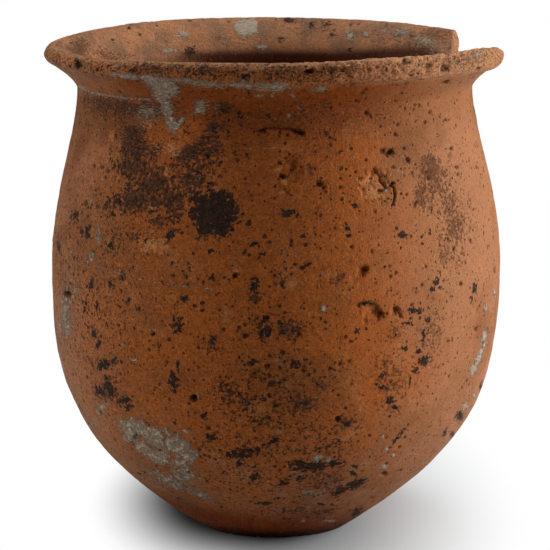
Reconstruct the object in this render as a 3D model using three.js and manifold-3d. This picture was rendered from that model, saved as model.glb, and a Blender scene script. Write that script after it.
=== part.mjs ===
// A hand-built terracotta jar: small flat foot, round belly, short neck and a flared lip with a
// piece broken away. The wall is a base slab and rings of clay stacked on it. Each ring ends in a
// rounded tongue and the next ring sits over it in a groove, with a thin bed of slip between.
// Millimetres, +Z up, jar standing on z = 0, front of the jar at -Y.
import * as THREE from 'three';
import { mergeVertices } from 'three/addons/utils/BufferGeometryUtils.js';
import Module from 'manifold-3d';

const wasm = await Module();
wasm.setup();

// Driving dimensions of the jar
const HEIGHT = 161.5;
const FOOT_RADIUS = 25.1;
const BELLY_RADIUS = 74;
const BELLY_HEIGHT = 86;
const NECK_RADIUS = 64.6;
const NECK_HEIGHT = 146;
const LIP_RADIUS = 75.2;
const LIP_THICKNESS = 6.4;
const WALL = 5.4;
const FLOOR = 9;

// Joints between the rings of clay
const TONGUE = 2.2;
const SLIP = 0.3;
const TONGUE_SHARES = [0, 0.3, 0.7, 1];

// Break in the lip, at the right. The clay is gone outside an upright face at this distance from
// the axis, square to this azimuth, and above a floor that is worn down towards the back.
const BREAK_AZIMUTH = -13;
const BREAK_FACE = 51.6;
const BREAK_FLOOR = HEIGHT - 6.2;

const SEGMENTS = 48;
const UP = new THREE.Vector3(0, 0, 1);

// Rings of clay from the foot up: name, height of the lower and upper joint, colour
const RINGS = [
  ['foot_coil', 8, 25, 0x8a5330],
  ['lower_wall_coil', 25, 45, 0x8e5630],
  ['lower_belly_coil', 45, 67, 0x93592f],
  ['upper_belly_coil', 67, 90, 0x965b31],
  ['lower_shoulder_coil', 90, 112, 0x905630],
  ['upper_shoulder_coil', 112, 131, 0x875030],
  ['neck_coil', 131, NECK_HEIGHT, 0x82502f],
];

// Outer face of the wall from foot to neck, as radius and height
const foot = new THREE.Vector2(FOOT_RADIUS, 0);
const belly = new THREE.Vector2(BELLY_RADIUS, BELLY_HEIGHT);
const neck = new THREE.Vector2(NECK_RADIUS, NECK_HEIGHT);
const wallOutline = new THREE.CurvePath();
wallOutline.add(new THREE.CubicBezierCurve(
  foot,
  new THREE.Vector2(FOOT_RADIUS + 40.1, 26.5),
  new THREE.Vector2(BELLY_RADIUS + 0.4, BELLY_HEIGHT - 40.5),
  belly,
));
wallOutline.add(new THREE.CubicBezierCurve(
  belly,
  new THREE.Vector2(BELLY_RADIUS, BELLY_HEIGHT + 25),
  new THREE.Vector2(NECK_RADIUS, NECK_HEIGHT - 13),
  neck,
));

// Outer point, inner point and upward direction of the wall where the outer face is at a height
function wallAt(height) {
  let below = 0;
  let above = 1;
  for (let step = 0; step < 30; step += 1) {
    const middle = (below + above) / 2;
    if (wallOutline.getPoint(middle).y < height) {
      below = middle;
    } else {
      above = middle;
    }
  }
  const outer = wallOutline.getPoint(above);
  const along = wallOutline.getTangent(above);
  const inward = new THREE.Vector2(-along.y, along.x);
  const inner = outer.clone().addScaledVector(inward, WALL);
  return { outer, inner, along };
}

// Rounded joint across the wall from the outer face to the inner face
function jointLine(height, lift) {
  const { outer, inner, along } = wallAt(height);
  return TONGUE_SHARES.map((share) => {
    const rise = lift + TONGUE * Math.sin(Math.PI * share);
    return outer.clone().lerp(inner, share).addScaledVector(along, rise);
  });
}

// Closed outline of one ring: outer face up, tongue, inner face down, groove
function ringOutline(low, high) {
  const middle = wallAt((low + high) / 2);
  const groove = jointLine(low, SLIP).reverse();
  const tongue = jointLine(high, 0);
  return [...groove, middle.outer, ...tongue, middle.inner, groove[0].clone()];
}

// Outline of the base slab: flat foot, start of the wall, tongue, dished floor
function baseOutline(jointHeight) {
  const tongue = jointLine(jointHeight, 0);
  const floorEdge = tongue[tongue.length - 1];
  const floor = new THREE.QuadraticBezierCurve(
    floorEdge,
    new THREE.Vector2(floorEdge.x - 7, FLOOR),
    new THREE.Vector2(0, FLOOR),
  );
  return [
    new THREE.Vector2(0, 0),
    foot,
    wallAt(jointHeight / 2).outer,
    ...tongue,
    ...floor.getPoints(4).slice(1),
  ];
}

// Closed outline of the rim: groove over the neck, flared underside, rounded lip, flared inside
function rimOutline() {
  const groove = jointLine(NECK_HEIGHT, SLIP).reverse();
  const neckOutside = groove[groove.length - 1];
  const neckInside = groove[0];
  const lipUnder = new THREE.Vector2(LIP_RADIUS - 1.6, HEIGHT - LIP_THICKNESS);
  const lipTop = new THREE.Vector2(LIP_RADIUS - 3, HEIGHT);
  const underside = new THREE.CubicBezierCurve(
    neckOutside,
    new THREE.Vector2(NECK_RADIUS, NECK_HEIGHT + 4),
    new THREE.Vector2(NECK_RADIUS + 4.4, NECK_HEIGHT + 7.2),
    lipUnder,
  );
  const lipEnd = new THREE.CubicBezierCurve(
    lipUnder,
    new THREE.Vector2(LIP_RADIUS + 0.4, HEIGHT - LIP_THICKNESS + 0.9),
    new THREE.Vector2(LIP_RADIUS + 0.9, HEIGHT - 0.2),
    lipTop,
  );
  const inside = new THREE.CubicBezierCurve(
    lipTop,
    new THREE.Vector2(LIP_RADIUS - 6, HEIGHT),
    new THREE.Vector2(neckInside.x, NECK_HEIGHT + 9),
    neckInside,
  );
  return [
    ...groove,
    ...underside.getPoints(4).slice(1),
    ...lipEnd.getPoints(5).slice(1),
    ...inside.getPoints(5).slice(1),
  ];
}

// Solid of revolution about +Z
function turned(outline) {
  return new THREE.LatheGeometry(outline, SEGMENTS).rotateX(Math.PI / 2);
}

function toSolid(geometry) {
  const bare = geometry.clone();
  bare.deleteAttribute('normal');
  bare.deleteAttribute('uv');
  const welded = mergeVertices(bare, 1e-4);
  return new wasm.Manifold(new wasm.Mesh({
    numProp: 3,
    vertProperties: new Float32Array(welded.attributes.position.array),
    triVerts: new Uint32Array(welded.index.array),
  }));
}

function toGeometry(solid) {
  const mesh = solid.getMesh();
  const geometry = new THREE.BufferGeometry();
  geometry.setAttribute('position', new THREE.BufferAttribute(mesh.vertProperties, 3));
  geometry.setIndex(new THREE.BufferAttribute(mesh.triVerts, 1));
  geometry.computeVertexNormals();
  return geometry;
}

// Solid of the missing piece of lip: a long worn slope from the front, then a nearly level floor
function missingPiece() {
  const clear = HEIGHT + 8;
  const outline = new THREE.Shape([
    new THREE.Vector2(-8, clear),
    new THREE.Vector2(-6, HEIGHT),
    new THREE.Vector2(1, HEIGHT - 0.5),
    new THREE.Vector2(11, HEIGHT - 2.1),
    new THREE.Vector2(21, HEIGHT - 3.3),
    new THREE.Vector2(30, BREAK_FLOOR + 1),
    new THREE.Vector2(39, BREAK_FLOOR + 0.3),
    new THREE.Vector2(60, BREAK_FLOOR),
    new THREE.Vector2(60, clear),
  ]);
  const reach = 40;
  const geometry = new THREE.ExtrudeGeometry(outline, { depth: reach, bevelEnabled: false });
  const azimuth = THREE.MathUtils.degToRad(BREAK_AZIMUTH);
  const outward = new THREE.Vector3(Math.cos(azimuth), Math.sin(azimuth), 0);
  const sideways = new THREE.Vector3().crossVectors(UP, outward);
  const placing = new THREE.Matrix4().makeBasis(sideways, UP, outward);
  placing.setPosition(outward.clone().multiplyScalar(BREAK_FACE));
  return geometry.applyMatrix4(placing);
}

const jar = new THREE.Group();
jar.name = 'terracotta_jar';

function addPiece(name, geometry, color) {
  const material = new THREE.MeshStandardMaterial({ color, roughness: 0.85, metalness: 0 });
  const mesh = new THREE.Mesh(geometry, material);
  mesh.name = name;
  jar.add(mesh);
}

addPiece('base_slab', turned(baseOutline(RINGS[0][1])), 0x7a4a2c);

for (const [name, low, high, color] of RINGS) {
  addPiece(name, turned(ringOutline(low, high)), color);
}

const wholeRim = toSolid(turned(rimOutline()));
const brokenRim = wholeRim.subtract(toSolid(missingPiece()));
addPiece('rim_coil', toGeometry(brokenRim), 0x9a6038);

export default jar;
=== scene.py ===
"""A weathered hand-built terracotta jar: a base slab and eight rings of clay, with a broken lip.

Metres, +Z up, the jar standing on z = 0, the side that the photograph shows at -Y.
"""
import logging
import math
from dataclasses import dataclass, field
from enum import Enum

import bmesh
import bpy
import numpy as np
from mathutils import Matrix, Vector, noise
from mathutils.geometry import interpolate_bezier


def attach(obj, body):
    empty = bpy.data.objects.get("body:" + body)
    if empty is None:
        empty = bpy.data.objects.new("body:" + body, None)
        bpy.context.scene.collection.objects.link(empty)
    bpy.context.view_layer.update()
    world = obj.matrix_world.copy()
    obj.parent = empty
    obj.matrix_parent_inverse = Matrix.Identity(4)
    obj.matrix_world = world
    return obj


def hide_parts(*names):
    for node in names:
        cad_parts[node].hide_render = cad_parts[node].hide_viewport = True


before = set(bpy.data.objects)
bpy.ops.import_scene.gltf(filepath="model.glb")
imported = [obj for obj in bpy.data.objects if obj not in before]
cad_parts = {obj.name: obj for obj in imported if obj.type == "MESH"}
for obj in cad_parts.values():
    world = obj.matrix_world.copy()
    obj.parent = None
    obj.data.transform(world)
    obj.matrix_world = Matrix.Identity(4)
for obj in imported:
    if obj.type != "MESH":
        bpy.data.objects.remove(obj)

LOG = logging.getLogger("terracotta_jar")
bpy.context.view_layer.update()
MM = 0.001
SEED = 41

# Steps round the jar, the same for every ring so that the edges of neighbours meet
COLUMNS = 1152
# Equal parts of the round, a power of two: one is spun and then doubled until it is whole
SECTORS = 16
# Distance in metres below which two points are one
SAME_PLACE = 1e-6
# How much finer each layer of a noise is than the one before
FINER = 2.0

Pair = tuple[float, float]
Triple = tuple[float, float, float]
Colour = tuple[float, float, float, float]
Socket = bpy.types.NodeSocket

WHITE: Colour = (1.0, 1.0, 1.0, 1.0)


class Coat(Enum):
    """What lies on the clay or shows in it, and the name of its surface attribute."""

    SOOT = "soot"
    SCORCH = "scorch"
    LIME = "lime"
    FRESH = "fresh"
    # Pits, holes and cut lines, darkened as painted shade in the hollows, partly dirt
    PIT = "pit"


class Face(Enum):
    """The side of the wall that a mark lies on."""

    OUTSIDE = "outside"
    INSIDE = "inside"


def smooth(value: np.ndarray, low: float, high: float) -> np.ndarray:
    """A soft step.

    Args:
        value: numbers to test.
        low: where the step starts.
        high: where the step ends.

    Returns:
        0 below low, 1 above high and a smooth rise between.
    """
    share = np.clip((value - low) / (high - low), 0.0, 1.0)
    return share * share * (3.0 - 2.0 * share)


def cloudy(places: np.ndarray, octaves: int, evenness: float = 1.0) -> np.ndarray:
    """Fractal noise.

    Args:
        places: n by 3 places, in widths of its largest lumps.
        octaves: how many layers it has.
        evenness: how much weaker the finer layers are.

    Returns:
        A number for each place, about -1 to 1.
    """
    return np.array([noise.fractal(place, evenness, FINER, octaves) for place in places.tolist()])


def paint(red: int, green: int, blue: int) -> Colour:
    """A colour for a shader.

    Args:
        red: red as on a screen, 0 to 255.
        green: green as on a screen, 0 to 255.
        blue: blue as on a screen, 0 to 255.

    Returns:
        The same colour as linear light, with full alpha.
    """
    shares = [part / 255.0 for part in (red, green, blue)]
    linear = [s / 12.92 if s <= 0.04045 else ((s + 0.055) / 1.055) ** 2.4 for s in shares]
    return (linear[0], linear[1], linear[2], 1.0)


@dataclass(frozen=True)
class Sight:
    """The photograph's viewpoint, in front of the jar and a little above it."""

    distance: float = 0.971
    height: float = 0.260
    pitch: float = math.radians(10.33)
    focal: float = 2978.0
    frame_side: float = 550.0
    sensor: float = 36.0

    def place(self, points: np.ndarray) -> np.ndarray:
        """Where points appear in the photograph's frame.

        Args:
            points: n by 3 places in metres.

        Returns:
            n by 2 columns and rows in pixels.
        """
        ahead = points[:, 1] + self.distance
        above = points[:, 2] - self.height
        depth = ahead * math.cos(self.pitch) - above * math.sin(self.pitch)
        rise = above * math.cos(self.pitch) + ahead * math.sin(self.pitch)
        centre = self.frame_side / 2.0
        columns = centre + self.focal * points[:, 0] / depth
        rows = centre - self.focal * rise / depth
        return np.column_stack((columns, rows))

    def facing(self, points: np.ndarray, normals: np.ndarray) -> np.ndarray:
        """How squarely surfaces face the viewpoint.

        Args:
            points: n by 3 places in metres.
            normals: n by 3 directions of length 1.

        Returns:
            The cosine for each, 1 when square on and below 0 when turned away.
        """
        towards = np.array((0.0, -self.distance, self.height)) - points
        towards /= np.linalg.norm(towards, axis=1, keepdims=True)
        return np.einsum("ij,ij->i", towards, normals)

    def set_camera(self) -> None:
        """Puts the scene's camera at the viewpoint."""
        lens = bpy.data.cameras.new("photo_camera")
        lens.sensor_width = self.sensor
        lens.lens = self.focal * self.sensor / self.frame_side
        camera = bpy.data.objects.new("photo_camera", lens)
        camera.location = (0.0, -self.distance, self.height)
        camera.rotation_euler = (math.pi / 2.0 - self.pitch, 0.0, 0.0)
        bpy.context.scene.collection.objects.link(camera)
        bpy.context.scene.camera = camera


@dataclass
class Section:
    """Cross-section of a piece, row by row, as radius and height.

    Facing is the direction the surface looks in, and outside is 1 on the outer face and 0 on the
    inner one. Creases are the rows where a face meets a joint.
    """

    line: np.ndarray
    facing: np.ndarray
    outside: np.ndarray
    closed: bool = True
    creases: tuple[int, ...] = ()

    def run(self) -> np.ndarray:
        """Length along the section.

        Returns:
            The length at each row and once round, as a share of the whole.
        """
        ends = np.vstack((self.line, self.line[:1]))
        steps = np.linalg.norm(np.diff(ends, axis=0), axis=1)
        return np.concatenate(([0.0], np.cumsum(steps))) / steps.sum()


def join(*parts: Section, closed: bool = True) -> Section:
    """Sections end to end.

    Args:
        parts: the sections in order, without repeated ends.
        closed: whether the last row meets the first again.

    Returns:
        One section.
    """
    starts = np.cumsum([0] + [len(part.line) for part in parts])
    creases = [start + row for start, part in zip(starts, parts) for row in part.creases]
    return Section(
        np.vstack([part.line for part in parts]),
        np.vstack([part.facing for part in parts]),
        np.concatenate([part.outside for part in parts]),
        closed,
        tuple(creases),
    )


def bend(start: Pair, first: Pair, second: Pair, end: Pair, count: int) -> np.ndarray:
    """Points along a cubic curve.

    Args:
        start: radius and height where it starts.
        first: handle at the start.
        second: handle at the end.
        end: radius and height where it ends.
        count: number of points, both ends included.

    Returns:
        count by 2 radii and heights.
    """
    knots = [Vector((radius, height, 0.0)) for radius, height in (start, first, second, end)]
    return np.array([(point.x, point.y) for point in interpolate_bezier(*knots, count)])


def look_out(line: np.ndarray) -> np.ndarray:
    """Directions square to a line, to the right of its run.

    Args:
        line: n by 2 radii and heights.

    Returns:
        n by 2 directions of length 1.
    """
    along = np.gradient(line, axis=0)
    along /= np.linalg.norm(along, axis=1, keepdims=True)
    return np.column_stack((along[:, 1], -along[:, 0]))


@dataclass
class JarShape:
    """The wall of the whole jar, and the joints between its rings."""

    foot: Pair = (25.1 * MM, 0.0)
    foot_handle: Pair = (65.2 * MM, 26.5 * MM)
    belly_handle_below: Pair = (74.4 * MM, 45.5 * MM)
    belly: Pair = (74.0 * MM, 86.0 * MM)
    belly_handle_above: Pair = (74.0 * MM, 111.0 * MM)
    neck_handle: Pair = (64.6 * MM, 133.0 * MM)
    neck: Pair = (64.6 * MM, 146.0 * MM)
    wall: float = 5.4 * MM
    tongue: float = 2.2 * MM
    outer_step: float = 0.4 * MM
    curve_points: int = 401
    line: np.ndarray = field(init=False)
    facing: np.ndarray = field(init=False)
    reach: np.ndarray = field(init=False)

    # Rows of a joint between the two faces, as shares of the wall's thickness
    TONGUE_SHARES = (0.2, 0.4, 0.6, 0.8)

    def __post_init__(self) -> None:
        """Works out the outer face from foot to neck."""
        lower = bend(self.foot, self.foot_handle, self.belly_handle_below, self.belly, self.curve_points)
        upper = bend(self.belly, self.belly_handle_above, self.neck_handle, self.neck, self.curve_points)
        self.line = np.vstack((lower, upper[1:]))
        self.facing = look_out(self.line)
        steps = np.linalg.norm(np.diff(self.line, axis=0), axis=1)
        self.reach = np.concatenate(([0.0], np.cumsum(steps)))

    def at(self, heights: np.ndarray) -> tuple[np.ndarray, np.ndarray]:
        """Outer face at given heights.

        Args:
            heights: n heights in metres.

        Returns:
            n by 2 points, and n by 2 directions out of the wall.
        """
        known = self.line[:, 1]
        points = np.column_stack((np.interp(heights, known, self.line[:, 0]), heights))
        out = np.column_stack([np.interp(heights, known, self.facing[:, part]) for part in (0, 1)])
        return points, out / np.linalg.norm(out, axis=1, keepdims=True)

    def rows(self, low: float, high: float, step: float) -> np.ndarray:
        """Heights that divide a stretch of the wall evenly.

        Args:
            low: height of the lower end.
            high: height of the upper end.
            step: greatest length between rows along the wall.

        Returns:
            The heights, both ends included.
        """
        known = self.line[:, 1]
        ends = np.interp((low, high), known, self.reach)
        count = math.ceil((ends[1] - ends[0]) / step) + 1
        heights = np.interp(np.linspace(ends[0], ends[1], count), self.reach, known)
        heights[0] = low
        heights[-1] = high
        return heights

    def outer_face(self, low: float, high: float) -> Section:
        """Outer face from one joint up to the next."""
        points, out = self.at(self.rows(low, high, self.outer_step))
        return Section(points, out, np.ones(len(points)), creases=(0, len(points) - 1))

    def inner_face(self, low: float, high: float, step: float) -> Section:
        """Inner face from one joint down to the one below.

        Args:
            low: height of the lower joint on the outer face.
            high: height of the upper joint on the outer face.
            step: greatest length between rows along the wall.

        Returns:
            The rows of the face, from the top.
        """
        points, out = self.at(self.rows(low, high, step)[::-1])
        creases = (0, len(points) - 1)
        return Section(points - self.wall * out, -out, np.zeros(len(points)), creases=creases)

    def joint(self, height: float, inward: bool) -> Section:
        """Rounded tongue across the wall, without its two ends.

        Args:
            height: height of the joint on the outer face.
            inward: True to run from the outer face to the inner one, False to run back.

        Returns:
            The rows between the two faces.
        """
        points, out = self.at(np.array((height,)))
        along = np.array((-out[0, 1], out[0, 0]))
        shares = np.array(self.TONGUE_SHARES if inward else self.TONGUE_SHARES[::-1])
        rise = self.tongue * np.sin(math.pi * shares)
        line = points - np.outer(shares * self.wall, out[0]) + np.outer(rise, along)
        facing = np.outer(1.0 - 2.0 * shares, out[0])
        return Section(line, facing, 1.0 - shares)


@dataclass
class Skin:
    """Surface points of one piece, and what weathering does to them."""

    points: np.ndarray
    normals: np.ndarray
    outside: np.ndarray
    sight: Sight
    rise: np.ndarray = field(init=False)
    coats: dict[Coat, np.ndarray] = field(init=False)
    seen: np.ndarray = field(init=False)
    shown: dict[Face, np.ndarray] = field(init=False)
    hidden: np.ndarray = field(init=False)
    wobble: np.ndarray = field(init=False)

    # Cosines between which a surface turns into view
    IN_VIEW = (0.0, 0.1)
    # Values of outside between which the inner face turns into the outer one
    OVER_THE_LIP = (0.35, 0.55)
    # Noises that make outlines ragged: size, octaves, shift and weight
    WOBBLES = ((9.0 * MM, 4, 0.0, 0.6), (2.6 * MM, 3, 7.0, 0.6), (1.1 * MM, 2, 11.0, 0.5))

    def __post_init__(self) -> None:
        """Finds what the photograph shows of the piece."""
        count = len(self.points)
        self.rise = np.zeros(count)
        self.coats = {coat: np.zeros(count) for coat in Coat}
        self.seen = self.sight.place(self.points)
        front = smooth(self.sight.facing(self.points, self.normals), *self.IN_VIEW)
        outer = smooth(self.outside, *self.OVER_THE_LIP)
        self.shown = {Face.OUTSIDE: front * outer, Face.INSIDE: front * (1.0 - outer)}
        self.hidden = 1.0 - front
        self.wobble = np.zeros(count)
        for size, octaves, shift, weight in self.WOBBLES:
            self.wobble += weight * self.noise(size, octaves, shift)

    def noise(self, size: float, octaves: int = 3, shift: float = 0.0) -> np.ndarray:
        """Fractal noise over the surface.

        Args:
            size: width of its largest lumps in metres.
            octaves: how many layers it has.
            shift: moves the pattern, so that two of one size differ.

        Returns:
            A number for each point, about -1 to 1.
        """
        return cloudy(self.points / size + shift, octaves)

    def coat(self, kind: Coat, amount: np.ndarray) -> None:
        """Lays a coat where it is stronger than what is there."""
        np.maximum(self.coats[kind], amount, out=self.coats[kind])


def fading(reach: np.ndarray) -> np.ndarray:
    """How much of a coat there is: all in its middle, half at its edge, none at twice that."""
    return np.clip(1.0 - 0.5 * reach, 0.0, 1.0)


@dataclass(frozen=True)
class Patch:
    """A ragged patch of one coat, placed in the photograph's frame in pixels.

    Wide and tall are half its size, turn is in degrees and clockwise.
    """

    x: float
    y: float
    wide: float
    tall: float
    turn: float = 0.0
    strength: float = 1.0
    ragged: float = 0.45
    face: Face = Face.OUTSIDE

    def lay(self, skin: Skin, kind: Coat) -> None:
        """Adds the patch to a piece.

        Args:
            skin: surface of the piece.
            kind: what the patch is made of.
        """
        amount = self.strength * fading(self.reach(skin))
        skin.coat(kind, amount * skin.shown[self.face])

    def reach(self, skin: Skin) -> np.ndarray:
        """How far out in the patch points lie.

        Args:
            skin: surface of the piece.

        Returns:
            Distance of each point from the middle, 1 at the patch's edge.
        """
        turn = math.radians(self.turn)
        aside = skin.seen[:, 0] - self.x
        below = skin.seen[:, 1] - self.y
        along = (aside * math.cos(turn) + below * math.sin(turn)) / self.wide
        across = (below * math.cos(turn) - aside * math.sin(turn)) / self.tall
        return np.hypot(along, across) + self.ragged * skin.wobble


@dataclass(frozen=True)
class Dent:
    """A pit, hole or scar, placed in the photograph's frame in pixels.

    Depth is in millimetres. Dark is how much painted shade, partly dirt, darkens its hollow, and fresh how
    much it looks like clean clay.
    """

    x: float
    y: float
    wide: float
    tall: float
    depth: float
    turn: float = 0.0
    dark: float = 0.8
    fresh: float = 0.0
    ragged: float = 0.5

    # Where the side of the dent starts, and how far in it goes on, in half widths of the dent
    BRINK = 1.2
    SLOPE = 0.6

    def press(self, skin: Skin) -> None:
        """Presses the dent into a piece.

        Args:
            skin: surface of the piece.
        """
        outline = Patch(self.x, self.y, self.wide, self.tall, self.turn, ragged=self.ragged)
        hollow = smooth(self.BRINK - outline.reach(skin), 0.0, self.SLOPE) * skin.shown[Face.OUTSIDE]
        skin.rise -= self.depth * MM * hollow
        skin.coat(Coat.PIT, self.dark * hollow)
        skin.coat(Coat.FRESH, self.fresh * hollow)


@dataclass(frozen=True)
class Scratch:
    """A line cut into the clay or drawn on it, placed in the photograph's frame in pixels.

    Depth is in millimetres, and below 0 for a raised line.
    """

    path: tuple[Pair, ...]
    width: float
    depth: float
    kind: Coat = Coat.PIT
    strength: float = 0.8

    # How ragged the line is, and the amounts of it between which it gets its depth
    RAGGED = 0.2
    DEEPENS = (0.2, 0.9)

    def cut(self, skin: Skin) -> None:
        """Cuts the line into a piece.

        Args:
            skin: surface of the piece.
        """
        nearest = np.full(len(skin.seen), np.inf)
        for start, end in zip(self.path, self.path[1:]):
            origin = np.array(start)
            along = np.array(end) - origin
            share = np.clip((skin.seen - origin) @ along / (along @ along), 0.0, 1.0)
            away = skin.seen - origin - np.outer(share, along)
            nearest = np.minimum(nearest, np.hypot(away[:, 0], away[:, 1]))
        line = np.clip(1.0 - 0.5 * nearest / self.width - self.RAGGED * skin.wobble, 0.0, 1.0)
        line *= skin.shown[Face.OUTSIDE] * (nearest < 2.0 * self.width)
        skin.rise -= self.depth * MM * smooth(line, *self.DEEPENS)
        skin.coat(self.kind, self.strength * line)


@dataclass(frozen=True)
class Blotch:
    """A ragged patch on the side of the jar that the photograph doesn't show."""

    centre: np.ndarray
    radius: float
    kind: Coat

    # How ragged its edge is, and how far up or down it is looked for, in radii
    RAGGED = 0.7
    FARTHEST = 2.5

    def lay(self, skin: Skin) -> None:
        """Adds the blotch to a piece.

        Args:
            skin: surface of the piece.
        """
        near = np.abs(skin.points[:, 2] - self.centre[2]) < self.FARTHEST * self.radius
        if near.any():
            reach = np.linalg.norm(skin.points - self.centre, axis=1) / self.radius
            skin.coat(self.kind, fading(reach + self.RAGGED * skin.wobble) * skin.hidden)


def patches(face: Face, *rows: tuple[float, ...]) -> tuple[Patch, ...]:
    """Patches on one side of the wall.

    Args:
        face: the side of the wall.
        rows: for each patch its x, y, wide and tall, and as far as given turn, strength and ragged.

    Returns:
        The patches.
    """
    return tuple(Patch(*row, face=face) for row in rows)


# Black stains
SOOT = patches(
    Face.OUTSIDE,
    (213, 213, 19, 16, 0, 1.4), (202, 200, 12, 8, 0, 1.2), (219, 197, 10, 6, 0, 1.3),
    (229, 208, 7, 10, 0, 1.3), (206, 230, 8, 7, 0, 1.2), (223, 228, 9, 7, 0, 1.2), (241, 212, 2.5, 3),
    (198, 240, 3, 2.5), (288, 213, 6.5, 5), (297, 216, 3, 2.5), (254, 285, 5, 7), (266, 318, 3, 4),
    (267, 331, 4.5, 5), (262, 337, 3, 3), (213, 339, 4, 4), (245, 336, 6, 2.5, -20),
    (238, 330, 2.5, 2), (252, 363, 6, 3, -15), (296, 364, 5, 4, 0, 0.8), (283, 352, 2.5, 3),
    (211, 251, 3.5, 3.5), (212, 278, 4, 3.5, 40), (249, 223, 2, 2.5), (254, 244, 3.5, 2.5),
    (263, 254, 3, 2.5), (302, 267, 3, 3), (307, 265, 4, 1.5, -25), (287, 268, 2, 2), (292, 241, 2, 2),
    (303, 236, 2.5, 2), (202, 303, 2, 2.5), (203, 310, 2, 2), (355, 205, 3, 3), (260, 144, 2.5, 2),
    (247, 155, 2, 2), (241, 117, 2, 2), (268, 115, 2, 1.5), (326, 133, 2, 2), (244, 77, 3.5, 3),
    (75, 216, 3.5, 5), (88, 232, 3, 8), (82, 230, 1.5, 3), (59, 246, 1.5, 5), (110, 245, 2.5, 3),
    (123, 275, 3, 5.5), (110, 283, 2, 4), (91, 284, 2.5, 5), (97, 306, 2, 4),
    (85, 305, 2.5, 8, 0, 0.75), (129, 301, 2, 2), (140, 309, 2.5, 2), (146, 240, 2, 3.5, 30),
    (170, 235, 4, 6, 35), (172, 264, 2, 2), (190, 267, 2, 2), (193, 253, 2, 2), (185, 298, 3, 4),
    (177, 326, 6, 8), (93, 335, 3, 5, 20), (98, 345, 3, 4), (160, 346, 2, 2), (163, 283, 1.5, 1.5),
    (175, 285, 2.5, 1.5), (104, 364, 8, 7), (115, 361, 4, 4), (106, 377, 3, 3), (107, 385, 4, 4),
    (111, 392, 4, 4), (98, 391, 4, 7), (124, 401, 6, 5.5), (128, 409, 2.5, 2.5), (173, 381, 4.5, 9),
    (178, 366, 1.5, 6), (175, 392, 2, 2), (204, 416, 3.5, 3.5), (210, 437, 5, 3.5),
    (207, 427, 2, 5, 0, 0.8), (229, 455, 3, 3), (244, 453, 15, 5, -10), (239, 464, 3, 3),
    (274, 441, 4, 3.5), (288, 448, 3, 2), (254, 477, 5, 4.5), (299, 465, 9, 5.5), (316, 466, 11, 4.5),
    (334, 464, 10, 4, -6), (299, 478, 4, 2.5), (285, 483, 5, 4), (340, 491, 9, 4, -28),
    (354, 485, 11, 4, -24), (265, 504, 7, 1.6), (321, 504, 3.5, 1.5), (403, 235, 4, 4, 40),
    (348, 229, 3, 2.5), (349, 236, 3, 2.5), (387, 252, 1.6, 2), (385, 267, 1.6, 1.6),
    (422, 236, 1.6, 1.6), (422, 244, 1.6, 1.6), (437, 282, 3, 3.5), (432, 289, 2.5, 2),
    (415, 291, 3, 2, 0, 0.7), (475, 289, 2, 6), (472, 299, 2, 3), (413, 310, 5, 2.5),
    (420, 311, 2.5, 3), (408, 324, 5, 3), (427, 320, 2, 2), (357, 332, 2.3, 2.3), (423, 336, 2.5, 7),
    (405, 348, 3, 3), (424, 360, 5.5, 5), (419, 351, 2.5, 3), (416, 370, 3, 3), (410, 379, 1.2, 4),
    (383, 376, 3, 5, 35), (376, 384, 2.5, 2), (383, 387, 4, 2.5), (390, 401, 4, 4),
    (395, 407, 2.5, 2.5), (346, 424, 4, 3), (397, 438, 12, 2, -50), (355, 467, 4, 2, 30),
    (353, 473, 4, 2, 20), (460, 416, 4, 4.5), (444, 434, 1.5, 4, 20), (481, 386, 2, 4),
    (453, 435, 2, 3), (494, 191, 2, 3), (357, 512, 6, 3, -35), (365, 303, 5, 2.5), (134, 70, 3, 2.5),
    (144, 65, 5, 2.5, 0, 0.75), (77, 62, 2.5, 4),
) + patches(
    Face.INSIDE,
    (191, 52, 6, 5), (288, 20, 6, 2.5), (311, 25, 2.5, 3.5), (327, 24, 5, 3.5, 0, 0.8),
    (333, 35, 4, 2), (281, 39, 3, 2), (129, 28, 2, 1.5), (140, 34, 2, 1.5), (113, 40, 2, 1.5),
    (411, 35, 4, 3, 0, 0.8), (350, 50, 3, 2), (366, 55, 5, 1.5),
)

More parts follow.
